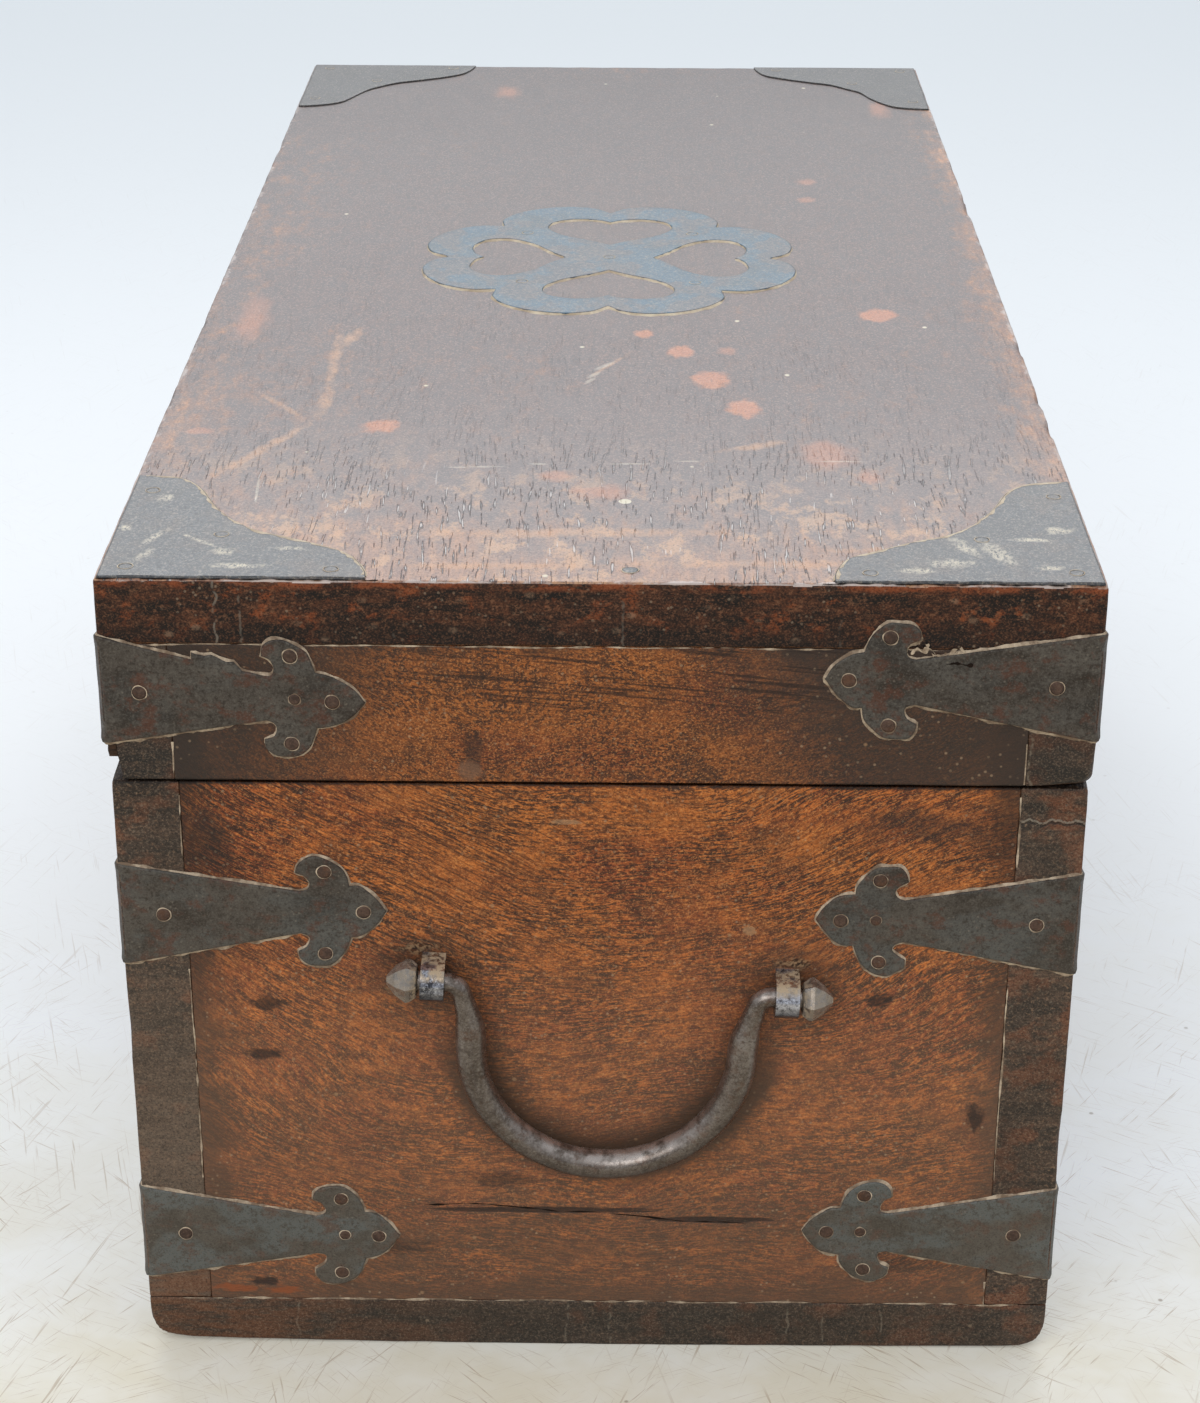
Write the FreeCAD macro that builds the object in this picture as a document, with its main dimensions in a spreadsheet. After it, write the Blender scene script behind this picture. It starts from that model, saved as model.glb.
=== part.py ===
"""Iron-bound document chest with a hinged lid, two bail handles and a seat for a sliding lock bar.

Row frame: the length runs along X, the front faces -Y, the hinges are at +Y, +Z is up, and the
origin is the centre of the underside. "Left" is the -X end and "right" the +X end.
"""
import FreeCAD, Part
import math
import os

import Sketcher
from FreeCAD import Placement, Rotation, Vector

SIZES = {
    # Carcase boards.
    "body_length": 464.0,
    "body_width": 209.0,
    "body_height": 147.2,
    "side_board": 14.5,
    "end_board": 14.0,
    "bottom_board": 12.5,
    "bottom_round": 7.0,
    "rim_wear": 0.8,
    # Lid boards.
    "seat_gap": 0.8,
    "lid_overhang": 0.7,
    "lid_frame_height": 31.7,
    "lid_side_board": 14.5,
    "lid_end_board": 14.0,
    "top_board": 14.6,
    "top_wear": 1.2,
    # Wooden pegs.
    "peg_radius": 2.5,
    "peg_clear": 2.5,
    "peg_stand": 0.25,
    "peg_grip": 20.0,
    "blind_grip": 9.0,
    # Corner straps, folded round the vertical corners.
    "strap_iron": 0.8,
    "strap_leg": 58.0,
    "strap_root_half": 12.4,
    "strap_fold_round": 0.6,
    "lower_strap_height": 32.0,
    "upper_strap_height": 115.0,
    "lid_strap_height": 22.0,
    # Flat corner plates and the pierced fitting on the lid.
    "plate_iron": 0.8,
    "plate_reach": 57.0,
    "plate_inset": 0.6,
    "ornament_iron": 0.8,
    "ornament_reach": 53.5,
    # Forged nails: a four-faced rose head on a square pointed shank.
    "nail_head": 3.2,
    "nail_head_height": 0.7,
    "nail_shank": 1.6,
    "nail_length": 7.5,
    # Bail handles.
    "handle_height": 99.6,
    "handle_shift": 2.5,
    "left_handle_tilt": 2.5,
    "pivot_stand": 5.2,
    "bail_half": 30.0,
    "bail_drop": 45.4,
    "bail_rod": 3.65,
    "stub_rod": 2.4,
    "stub_start": 36.0,
    "flare_angle": 15.0,
    "bail_taper": 5.0,
    "knob_radius": 4.6,
    "knob_length": 6.2,
    "knob_tip": 1.2,
    "knob_gap": 0.8,
    # Staples that carry the bails.
    "staple_spread": 38.8,
    "staple_width": 5.2,
    "staple_iron": 1.4,
    "bail_play": 0.6,
    "staple_clench": 8.0,
    "slot_play": 0.15,
    # Hinges on the back.
    "hinge_clear": 26.0,
    "hinge_half": 18.0,
    "hinge_iron": 1.2,
    "hinge_stand": 3.5,
    "knuckle_radius": 3.1,
    "knuckle_gap": 0.3,
    "pin_radius": 1.7,
    "pin_play": 0.05,
    "pin_tail": 1.0,
    "body_leaf": 40.0,
    "lid_leaf": 27.0,
    # Lock eyes on the front and the tongue that hangs between them.
    "lock_height": 128.0,
    "lock_stand": 7.5,
    "lock_bore": 3.5,
    "eye_radius": 6.5,
    "eye_width": 4.0,
    "eye_shank": 4.0,
    "eye_bend": 2.4,
    "eye_clench": 9.0,
    "tongue_iron": 1.5,
    "tongue_width": 5.0,
    "tongue_ring": 6.0,
    "tongue_gap": 0.5,
    "tongue_plate_half": 10.0,
    "tongue_plate": 25.0,
}

BODY_HALF_LENGTH = "Sizes.body_length / 2"
BODY_HALF_WIDTH = "Sizes.body_width / 2"
LID_HALF_LENGTH = "(Sizes.body_length / 2 + Sizes.lid_overhang)"
LID_HALF_WIDTH = "(Sizes.body_width / 2 + Sizes.lid_overhang)"
LID_BASE = "(Sizes.body_height + Sizes.seat_gap)"
LID_DECK = "(Sizes.body_height + Sizes.seat_gap + Sizes.lid_frame_height)"
LID_TOP = "(Sizes.body_height + Sizes.seat_gap + Sizes.lid_frame_height + Sizes.top_board)"
HINGE_HEIGHT = "(Sizes.body_height + Sizes.seat_gap / 2)"
HINGE_PLACE = "(Sizes.body_length / 2 - Sizes.strap_leg - Sizes.hinge_clear - Sizes.hinge_half)"
PEG_FROM_STRAP = "(Sizes.strap_root_half + Sizes.peg_clear + Sizes.peg_radius)"
BODY_PEG_HEIGHTS = [
    f"Sizes.lower_strap_height + {PEG_FROM_STRAP}",
    "(Sizes.lower_strap_height + Sizes.upper_strap_height) / 2",
    f"Sizes.upper_strap_height - {PEG_FROM_STRAP}",
]
LID_PEG_HEIGHTS = [f"{LID_BASE} + (Sizes.lid_strap_height - Sizes.strap_root_half) / 2"]
STAPLE_INNER = "(Sizes.stub_rod + Sizes.bail_play)"
STAPLE_OUTER = "(Sizes.stub_rod + Sizes.bail_play + Sizes.staple_iron)"

CORNERS = {
    "front_left": (-1, -1, 0),
    "back_left": (-1, 1, -90),
    "front_right": (1, -1, 90),
    "back_right": (1, 1, 180),
}
ENDS = {"left": (-1, 180, "Sizes.left_handle_tilt"), "right": (1, 0, "0")}
SIDES = {"left": -1, "right": 1}

# Strap head, upper half, chiselled in straight strokes from the neck round the hook, the beak, the
# lobe and the shoulder to the tip: shares of the leg's length and of the root's half width.
STRAP_SHARES = [
    (0.645, 0.452),
    (0.684, 0.640),
    (0.631, 0.830),
    (0.652, 1.050),
    (0.702, 1.160),
    (0.764, 1.090),
    (0.806, 0.850),
    (0.821, 0.548),
    (0.884, 0.430),
    (0.940, 0.230),
]
STRAP_NAIL_SHARES = [(0.147, 0.0), (0.724, 0.85), (0.724, -0.85), (0.871, 0.0)]

# Half of a corner plate's inner edge, from the rounded end to the inner corner: shares of the reach.
PLATE_SHARES = [
    ("arc", 0.978, 0.150),
    ("corner", 0.916, 0.232),
    ("arc", 0.690, 0.400),
    ("corner", 0.512, 0.512),
]
PLATE_NAIL_SHARES = [(0.10, 0.10), (0.86, 0.09), (0.09, 0.86), (0.42, 0.42)]

# Pierced fitting: radius shares of the two kinds of notch, and half of a heart, chiselled in
# straight strokes, as (out, across).
CARDINAL_NOTCH_SHARE = 0.835
DIAGONAL_NOTCH_SHARE = 0.805
HEART_SHARES = [
    (0.230, 0.0),
    (0.310, 0.105),
    (0.415, 0.262),
    (0.495, 0.326),
    (0.590, 0.332),
    (0.670, 0.288),
    (0.712, 0.200),
    (0.706, 0.090),
    (0.655, 0.0),
]
ORNAMENT_NAIL_SHARE = 0.44

# Nailed leaf of a hinge or of the lock tongue: (across, along) shares from the root to the point.
LEAF_SHARES = [
    (1.0, 0.0),
    (0.86, 0.56),
    (0.80, 0.76),
    (0.58, 0.85),
    (0.30, 0.80),
    (0.14, 0.87),
    (0.0, 1.0),
]
LEAF_NAIL_SHARES = [(0.58, 0.46), (-0.58, 0.46), (0.0, 0.74)]

# Sections of a bail's knob: share of its length, and radius.
KNOB_SECTIONS = [(0.0, "Sizes.stub_rod"), (0.34, "Sizes.knob_radius"), (1.0, "Sizes.knob_tip")]

# Places of the pegs: along the length or width of the boards that they hold.
BOTTOM_PEG_SHARES = [-0.36, -0.12, 0.12, 0.36]
END_PEG_SHARES = [-0.22, 0.22]
TOP_PEG_SHARES = [-0.34, -0.18, 0.18, 0.34]

BAIL_ARC_STEPS = 6
FLARE_STEPS = 2
SHOULDER_STEPS = 3
KNUCKLES = 3
PEG_SIDES = 6
ROD_SIDES = 8
KNOB_SIDES = 6
ROUNDING = 1e-6

doc = FreeCAD.newDocument("document_chest")
sheet = doc.addObject("Spreadsheet::Sheet", "Sizes")
parts = []


def fill_sheet():
    """Writes the driving dimensions into the sheet, one alias to a row."""
    for row, (name, size) in enumerate(SIZES.items(), start=1):
        sheet.set(f"A{row}", name)
        sheet.set(f"B{row}", str(size))
        sheet.setAlias(f"B{row}", name)
    doc.recompute()


def value(expression):
    """The number that an expression in the sheet's names stands for."""
    return float(sheet.evalExpression(str(expression)))


def place(item, along="0", across="0", up="0", turn=None):
    """Turns an object, then binds its place to the sheet."""
    item.Placement = Placement(Vector(), turn or Rotation())
    for axis, expression in zip("xyz", (along, across, up)):
        item.setExpression(f"Placement.Base.{axis}", str(expression))
    return item


def keep(item, label):
    """Names an object as a sub-part of the chest."""
    item.Label = label
    parts.append(item)
    return item


def new_body(name):
    return doc.addObject("PartDesign::Body", name)


def new_sketch(body, role):
    """A sketch on one of the body's own origin planes."""
    sketch = body.newObject("Sketcher::SketchObject", "Outline")
    plane = next(item for item in body.Origin.OriginFeatures if item.Role == role)
    sketch.AttachmentSupport = (plane, [""])
    sketch.MapMode = "FlatFace"
    return sketch


def pin_point(sketch, geometry, spot, point):
    """Ties one point of a sketch to its two expressions."""
    for kind, expression in zip(("DistanceX", "DistanceY"), point):
        row = sketch.addConstraint(
            Sketcher.Constraint(kind, -1, 1, geometry, spot, value(expression)))
        sketch.setExpression(f"Constraints[{row}]", str(expression))


def arc_through(first, middle, last):
    """A sketch arc through three points, and whether it runs from first to last."""
    curve = Part.Arc(*(Vector(*point) for point in (first, middle, last))).toShape().Curve
    centre = curve.Center
    bearing = [math.atan2(y - centre.y, x - centre.x) for x, y in (first, middle, last)]
    sweep = (bearing[2] - bearing[0]) % math.tau
    forward = (bearing[1] - bearing[0]) % math.tau < sweep
    start, stop = (bearing[0], bearing[2]) if forward else (bearing[2], bearing[0])
    circle = Part.Circle(centre, Vector(0, 0, 1), curve.Radius)
    return Part.ArcOfCircle(circle, start, stop), forward


def draw(sketch, path):
    """Draws a closed outline of lines and arcs.

    The path holds ("corner", x, y) and, between two corners that an arc joins, ("arc", x, y).
    """
    corners = [row for row, step in enumerate(path) if step[0] == "corner"]
    ends = []
    for here, there in zip(corners, corners[1:] + corners[:1]):
        first = path[here][1:]
        last = path[there][1:]
        bend = path[(here + 1) % len(path)]
        numbers = [tuple(value(size) for size in point) for point in (first, bend[1:], last)]
        if bend[0] == "arc":
            curve, forward = arc_through(*numbers)
            edge = sketch.addGeometry(curve, False)
            bead = sketch.addGeometry(Part.Point(Vector(*numbers[1])), True)
            sketch.addConstraint(Sketcher.Constraint("PointOnObject", bead, 1, edge))
            pin_point(sketch, bead, 1, bend[1:])
            ends.append((edge, 1, 2) if forward else (edge, 2, 1))
        else:
            edge = sketch.addGeometry(
                Part.LineSegment(Vector(*numbers[0]), Vector(*numbers[2])), False)
            ends.append((edge, 1, 2))
        pin_point(sketch, edge, ends[-1][1], first)
    for (edge, _, stop), (following, start, _) in zip(ends, ends[1:] + ends[:1]):
        sketch.addConstraint(Sketcher.Constraint("Coincident", edge, stop, following, start))


def draw_box(sketch, x_low, x_high, y_low, y_high):
    """Draws a rectangle between two pairs of expressions."""
    draw(sketch, [("corner", x_low, y_low), ("corner", x_high, y_low),
                  ("corner", x_high, y_high), ("corner", x_low, y_high)])


def draw_circle(sketch, x, y, radius):
    """Draws a circle whose centre and radius follow expressions."""
    ring = sketch.addGeometry(
        Part.Circle(Vector(value(x), value(y)), Vector(0, 0, 1), value(radius)), False)
    pin_point(sketch, ring, 3, (x, y))
    row = sketch.addConstraint(Sketcher.Constraint("Radius", ring, value(radius)))
    sketch.setExpression(f"Constraints[{row}]", radius)


def pad(body, sketch, length, reverse=False, midplane=False):
    feature = body.newObject("PartDesign::Pad", "Pad")
    feature.Profile = sketch
    feature.setExpression("Length", length)
    feature.Reversed = reverse
    feature.Midplane = midplane
    doc.recompute()
    return feature


def pocket_through(body, sketch):
    """Cuts right through the body, both ways from the sketch."""
    before = body.Shape.Volume
    feature = body.newObject("PartDesign::Pocket", "Pocket")
    feature.Profile = sketch
    feature.Type = "ThroughAll"
    feature.Midplane = True
    doc.recompute()
    if feature.Shape.Volume >= before:
        raise RuntimeError(f"pocket in {body.Label} cuts nothing")
    return feature


def round_edges(body, radius, choose):
    """Rounds the edges of the body that the test chooses by their midpoint and direction."""
    base = body.Tip
    names = []
    for row, edge in enumerate(base.Shape.Edges, start=1):
        middle = edge.valueAt((edge.FirstParameter + edge.LastParameter) / 2)
        if choose(middle, edge.tangentAt(edge.FirstParameter)):
            names.append(f"Edge{row}")
    feature = body.newObject("PartDesign::Fillet", "Round")
    feature.Base = (base, names)
    feature.setExpression("Radius", radius)
    doc.recompute()
    return feature


def clone(source, label):
    """A copy of a pattern piece, as a body that can be placed by itself."""
    body = new_body(label)
    base = body.newObject("PartDesign::FeatureBase", "Copy")
    base.BaseFeature = source
    body.Tip = base
    return body


def group(label, pieces):
    """Like pieces that share one node, each still a solid of its own."""
    cluster = doc.addObject("Part::Compound", label)
    cluster.Links = pieces
    return keep(cluster, label)


def board(label, length, width, height, up, along="0", across="0"):
    """A flat board on its own origin, centred in length and width."""
    body = new_body(label)
    sketch = new_sketch(body, "XY_Plane")
    draw_box(sketch, f"-({length}) / 2", f"({length}) / 2", f"-({width}) / 2", f"({width}) / 2")
    pad(body, sketch, height)
    place(body, along, across, up)
    return keep(body, label)


def at(size, number):
    """Whether a coordinate equals a number, to within rounding."""
    return math.isclose(size, number, abs_tol=ROUNDING)


def body_boards():
    """Bottom, front, back and end boards of the carcase."""
    wall_height = "Sizes.body_height - Sizes.bottom_board"
    wall_top = value(wall_height)
    bottom = board("bottom_board", "Sizes.body_length", "Sizes.body_width", "Sizes.bottom_board", "0")
    round_edges(bottom, "Sizes.bottom_round",
                lambda middle, run: at(middle.z, 0) and at(abs(run.x), 1))
    side_place = "(Sizes.body_width - Sizes.side_board) / 2"
    for label, side in (("front_board", -1), ("back_board", 1)):
        wall = board(label, "Sizes.body_length", "Sizes.side_board", wall_height,
                     "Sizes.bottom_board", across=f"{side} * {side_place}")
        if side < 0:
            cut_eye_slots(wall)
        outer = side * value("Sizes.side_board") / 2
        round_edges(wall, "Sizes.rim_wear", lambda middle, run: at(
            middle.z, wall_top) and at(middle.y, outer) and at(abs(run.x), 1))
    for end, (side, _, tilt) in ENDS.items():
        wall = board(f"{end}_end_board", "Sizes.end_board", "Sizes.body_width - 2 * Sizes.side_board",
                     wall_height, "Sizes.bottom_board",
                     along=f"{side} * (Sizes.body_length - Sizes.end_board) / 2")
        cut_staple_slots(wall, tilt)


def cut_eye_slots(wall):
    """Square holes in the front board for the shanks of the two lock eyes."""
    half = "(Sizes.eye_shank / 2 + Sizes.slot_play)"
    width = "(Sizes.eye_width / 2 + Sizes.slot_play)"
    height = "(Sizes.lock_height - Sizes.bottom_board)"
    sketch = new_sketch(wall, "XZ_Plane")
    for side in SIDES.values():
        middle = f"{side} * ({eye_place()})"
        draw_box(sketch, f"{middle} - {width}", f"{middle} + {width}",
                 f"{height} - {half}", f"{height} + {half}")
    pocket_through(wall, sketch)


def cut_staple_slots(wall, tilt):
    """Slots in an end board for the two legs of each staple, leaning with the handle."""
    width = "(Sizes.staple_width / 2 + Sizes.slot_play)"
    sketch = new_sketch(wall, "YZ_Plane")
    for side in SIDES.values():
        for leg in (-1, 1):
            low = f"{leg} * ({STAPLE_INNER} - Sizes.slot_play)"
            high = f"{leg} * ({STAPLE_OUTER} + Sizes.slot_play)"
            rim = [(f"-{width}", low), (width, low), (width, high), (f"-{width}", high)]
            draw(sketch, [(
                "corner",
                f"{staple_across(side)} + ({along}) * cos({tilt}) - ({up}) * sin({tilt})",
                f"{staple_up(side, tilt)} - Sizes.bottom_board"
                f" + ({along}) * sin({tilt}) + ({up}) * cos({tilt})",
            ) for along, up in rim])
    pocket_through(wall, sketch)


def lid_boards():
    """Rails, end rails and top board of the lid."""
    length = f"2 * {LID_HALF_LENGTH}"
    width = f"2 * {LID_HALF_WIDTH}"
    for label, side in (("lid_front_rail", -1), ("lid_back_rail", 1)):
        board(label, length, "Sizes.lid_side_board", "Sizes.lid_frame_height", LID_BASE,
              across=f"{side} * ({LID_HALF_WIDTH} - Sizes.lid_side_board / 2)")
    for end, side in SIDES.items():
        board(f"lid_{end}_end_rail", "Sizes.lid_end_board", f"{width} - 2 * Sizes.lid_side_board",
              "Sizes.lid_frame_height", LID_BASE,
              along=f"{side} * ({LID_HALF_LENGTH} - Sizes.lid_end_board / 2)")
    top = board("top_board", length, width, "Sizes.top_board", LID_DECK)
    round_edges(top, "Sizes.top_wear", lambda middle, run: at(middle.z, value("Sizes.top_board")))


def peg(length, along, across, up, turn=None):
    """One whittled peg, running up from its place, or as it is turned."""
    stick = doc.addObject("Part::Prism", "Peg")
    stick.Polygon = PEG_SIDES
    stick.setExpression("Circumradius", "Sizes.peg_radius")
    stick.setExpression("Height", length)
    return place(stick, along, across, up, turn)


def corner_pegs(label, half_length, half_width, side_board, end_board, heights):
    """Pegs driven through the long boards into the edges of the end boards."""
    sticks = []
    for along_side, across_side, _ in CORNERS.values():
        inward = Rotation(Vector(1, 0, 0), across_side * 90)
        for height in heights:
            sticks.append(peg(f"Sizes.peg_stand + {side_board} + Sizes.peg_grip",
                              f"{along_side} * ({half_length} - {end_board} / 2)",
                              f"{across_side} * ({half_width} + Sizes.peg_stand)", height, inward))
    return group(label, sticks)


def pegs():
    """All the wooden pegs, in four groups."""
    corner_pegs("body_corner_pegs", BODY_HALF_LENGTH, BODY_HALF_WIDTH, "Sizes.side_board",
                "Sizes.end_board", BODY_PEG_HEIGHTS)
    corner_pegs("lid_corner_pegs", LID_HALF_LENGTH, LID_HALF_WIDTH, "Sizes.lid_side_board",
                "Sizes.lid_end_board", LID_PEG_HEIGHTS)
    blind = "Sizes.peg_grip + Sizes.blind_grip"
    low = "Sizes.bottom_board - Sizes.blind_grip"
    upward = []
    downward = []
    for side in SIDES.values():
        for share in BOTTOM_PEG_SHARES:
            upward.append(peg(blind, f"{share} * Sizes.body_length",
                              f"{side} * ({BODY_HALF_WIDTH} - Sizes.side_board / 2)", low))
        for share in END_PEG_SHARES:
            upward.append(peg(blind, f"{side} * (Sizes.body_length - Sizes.end_board) / 2",
                              f"{share} * Sizes.body_width", low))
        for share in TOP_PEG_SHARES:
            downward.append(peg(blind, f"{share} * Sizes.body_length",
                                f"{side} * ({LID_HALF_WIDTH} - Sizes.lid_side_board / 2)",
                                f"{LID_DECK} - Sizes.peg_grip"))
    group("bottom_pegs", upward)
    group("top_pegs", downward)


def strap_leg_path():
    """Outline of one leg: a tapering root, a hooked neck, two lobes and a pointed tip."""
    half = [("corner", "-Sizes.strap_iron", "Sizes.strap_root_half")]
    for along, up in STRAP_SHARES:
        half.append(("corner", f"Sizes.strap_leg * {along}", f"Sizes.strap_root_half * {up}"))
    lower = [(kind, along, f"-{up}") for kind, along, up in reversed(half)]
    return half + [("corner", "Sizes.strap_leg", "0")] + lower


def strap_nail_places():
    return [(f"Sizes.strap_leg * {along}", f"Sizes.strap_root_half * {up}")
            for along, up in STRAP_NAIL_SHARES]


def strap_pattern():
    """A strap folded round a corner at the origin: one leg along +X, the other along +Y."""
    body = new_body("strap_pattern")
    for role, inward in (("XZ_Plane", False), ("YZ_Plane", True)):
        sketch = new_sketch(body, role)
        draw(sketch, strap_leg_path())
        pad(body, sketch, "Sizes.strap_iron", reverse=inward)
    fold = -value("Sizes.strap_iron")
    round_edges(body, "Sizes.strap_fold_round", lambda middle, run: at(
        middle.x, fold) and at(middle.y, fold) and at(abs(run.z), 1))
    return body


def corner_place(corner, half_length, half_width):
    """Place and turn of a piece that sits at one of the four vertical corners."""
    along, across, angle = CORNERS[corner]
    turn = Rotation(Vector(0, 0, 1), angle)
    return f"{along} * {half_length}", f"{across} * {half_width}", turn


def straps(nails):
    """Twelve corner straps: two tiers on the carcase and one on the lid."""
    pattern = strap_pattern()
    tiers = [
        ("lower", BODY_HALF_LENGTH, BODY_HALF_WIDTH, "Sizes.lower_strap_height", "body"),
        ("upper", BODY_HALF_LENGTH, BODY_HALF_WIDTH, "Sizes.upper_strap_height", "body"),
        ("lid", LID_HALF_LENGTH, LID_HALF_WIDTH, f"{LID_BASE} + Sizes.lid_strap_height", "lid"),
    ]
    for tier, half_length, half_width, height, owner in tiers:
        pieces = []
        for corner in CORNERS:
            strap = clone(pattern, f"{tier}_strap_{corner}")
            along, across, turn = corner_place(corner, half_length, half_width)
            pieces.append(place(strap, along, across, height, turn))
            for distance, up in strap_nail_places():
                nails[owner].append((strap, (distance, "-Sizes.strap_iron", up), (1, 0, 0), 90))
                nails[owner].append((strap, ("-Sizes.strap_iron", distance, up), (0, 1, 0), -90))
        group(f"{tier}_straps", pieces)


def plate_path():
    """Outline of a corner plate: two arms with rounded ends and a drawn-in inner edge."""
    def arm(kind, along_share, across_share):
        return (kind, f"Sizes.plate_reach * {along_share}", f"Sizes.plate_reach * {across_share}")

    half = [("corner", "Sizes.plate_inset", "Sizes.plate_inset"),
            ("corner", "Sizes.plate_reach", "Sizes.plate_inset")]
    half += [arm(*step) for step in PLATE_SHARES]
    other = [(kind, across, along) for kind, along, across in reversed(half[1:-1])]
    return half + other


def corner_plates(nails):
    """Four flat plates on the corners of the lid's top."""
    pattern = new_body("plate_pattern")
    sketch = new_sketch(pattern, "XY_Plane")
    draw(sketch, plate_path())
    spots = [(f"Sizes.plate_reach * {along}", f"Sizes.plate_reach * {across}")
             for along, across in PLATE_NAIL_SHARES]
    pad(pattern, sketch, "Sizes.plate_iron")
    for corner in CORNERS:
        plate = keep(clone(pattern, f"corner_plate_{corner}"), f"corner_plate_{corner}")
        along, across, turn = corner_place(corner, LID_HALF_LENGTH, LID_HALF_WIDTH)
        place(plate, along, across, LID_TOP, turn)
        for spot in spots:
            nails["lid"].append((plate, (*spot, "Sizes.plate_iron"), (1, 0, 0), 0))


def quarter_turns(point):
    """A point and its three copies, a quarter turn apart about the origin."""
    along, across = point
    return [(along, across), (f"-({across})", along),
            (f"-({along})", f"-({across})"), (across, f"-({along})")]


def ornament(nails):
    """Pierced fitting: four petals of two lobes each, and a heart cut in each petal."""
    body = new_body("lid_ornament")
    sketch = new_sketch(body, "XY_Plane")
    outline = []
    for step in range(8):
        notch = DIAGONAL_NOTCH_SHARE if step % 2 else CARDINAL_NOTCH_SHARE
        for kind, share, angle in (("corner", notch, 45 * step), ("arc", 1.0, 45 * step + 22.5)):
            radius = f"Sizes.ornament_reach * {share}"
            outline.append((kind, f"{radius} * cos({angle})", f"{radius} * sin({angle})"))
    draw(sketch, outline)
    half = [(f"Sizes.ornament_reach * {out}", f"Sizes.ornament_reach * {across}")
            for out, across in HEART_SHARES]
    heart = half + [(out, f"-{across}") for out, across in reversed(half[1:-1])]
    for turn in range(4):
        draw(sketch, [("corner", *quarter_turns(point)[turn]) for point in heart])
    reach = f"Sizes.ornament_reach * {ORNAMENT_NAIL_SHARE}"
    spots = [("0", "0")] + quarter_turns((reach, reach))
    for along, across in spots:
        nails["lid"].append((body, (along, across, "Sizes.ornament_iron"), (1, 0, 0), 0))
    pad(body, sketch, "Sizes.ornament_iron")
    place(body, up=LID_TOP)
    keep(body, "lid_ornament")


def leaf_path(half_width, length, way):
    """Outline of a nailed leaf whose point is up (way 1) or down (way -1)."""
    right = [("corner", f"{half_width} * {across}", f"{way} * {length} * {along}")
             for across, along in LEAF_SHARES]
    left = [(kind, f"-{across}", along) for kind, across, along in reversed(right[:-1])]
    return right + left


def leaf_nail_places(half_width, length, way):
    return [(f"{half_width} * {across}", f"{way} * {length} * {along}")
            for across, along in LEAF_NAIL_SHARES]


def hinge_leaf(name, length, way, stand, bore):
    """A leaf on the plane Y = 0 with rolled knuckles about an axis along X at Y = stand."""
    body = new_body(name)
    plate = new_sketch(body, "XZ_Plane")
    draw(plate, leaf_path("Sizes.hinge_half", length, way))
    pad(body, plate, "Sizes.hinge_iron", reverse=True)
    roll = new_sketch(body, "YZ_Plane")
    radius = "Sizes.knuckle_radius"
    root = f"{way} * (Sizes.knuckle_radius + 2 * Sizes.hinge_iron)"
    draw(roll, [
        ("corner", "0", root),
        ("corner", "0", f"{way} * Sizes.hinge_iron / 2"),
        ("corner", f"{stand} - {radius}", "0"),
        ("arc", f"{stand} + {radius} * cos(45)", f"{-way} * {radius} * sin(45)"),
        ("corner", stand, f"{way} * {radius}"),
        ("corner", "Sizes.hinge_iron", root),
    ])
    draw_circle(roll, stand, "0", bore)
    pad(body, roll, "2 * Sizes.hinge_half", midplane=True)
    cut_knuckle_gaps(body, way)
    return body


def cut_knuckle_gaps(body, way):
    """Clears the stretches of the roll where the other leaf's knuckles turn."""
    pitch = f"(2 * Sizes.hinge_half / {KNUCKLES})"
    reach = "(Sizes.knuckle_radius + Sizes.knuckle_gap)"
    sketch = new_sketch(body, "XZ_Plane")
    first = 1 if way < 0 else 0
    for slot in range(first, KNUCKLES, 2):
        low = f"{slot} * {pitch} - Sizes.hinge_half - Sizes.knuckle_gap / 2"
        high = f"{slot + 1} * {pitch} - Sizes.hinge_half + Sizes.knuckle_gap / 2"
        draw_box(sketch, low, high, f"-{reach}", reach)
    pocket_through(body, sketch)


def hinges(nails):
    """Two hinges on the back: leaves, pins and the places of their nails."""
    body_stand = "(Sizes.hinge_stand + Sizes.lid_overhang)"
    patterns = {
        "body": hinge_leaf("body_leaf_pattern", "Sizes.body_leaf", -1, body_stand,
                           "Sizes.pin_radius + Sizes.pin_play"),
        "lid": hinge_leaf("lid_leaf_pattern", "Sizes.lid_leaf", 1, "Sizes.hinge_stand",
                          "Sizes.pin_radius"),
    }
    faces = {"body": BODY_HALF_WIDTH, "lid": LID_HALF_WIDTH}
    spots = {"body": leaf_nail_places("Sizes.hinge_half", "Sizes.body_leaf", -1),
             "lid": leaf_nail_places("Sizes.hinge_half", "Sizes.lid_leaf", 1)}
    for owner, pattern in patterns.items():
        pieces = []
        for side, way in SIDES.items():
            leaf = clone(pattern, f"{owner}_hinge_leaf_{side}")
            pieces.append(place(leaf, f"{way} * {HINGE_PLACE}", faces[owner], HINGE_HEIGHT))
            for across, up in spots[owner]:
                nails[owner].append((leaf, (across, "Sizes.hinge_iron", up), (1, 0, 0), -90))
        group(f"{owner}_hinge_leaves", pieces)
    for side, way in SIDES.items():
        pin = doc.addObject("Part::Cylinder", "Pin")
        pin.setExpression("Radius", "Sizes.pin_radius")
        pin.setExpression("Height", "2 * (Sizes.hinge_half + Sizes.pin_tail)")
        place(pin, f"{way} * {HINGE_PLACE} - Sizes.hinge_half - Sizes.pin_tail",
              f"{LID_HALF_WIDTH} + Sizes.hinge_stand", HINGE_HEIGHT,
              Rotation(Vector(0, 1, 0), 90))
        keep(pin, f"hinge_pin_{side}")


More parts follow.
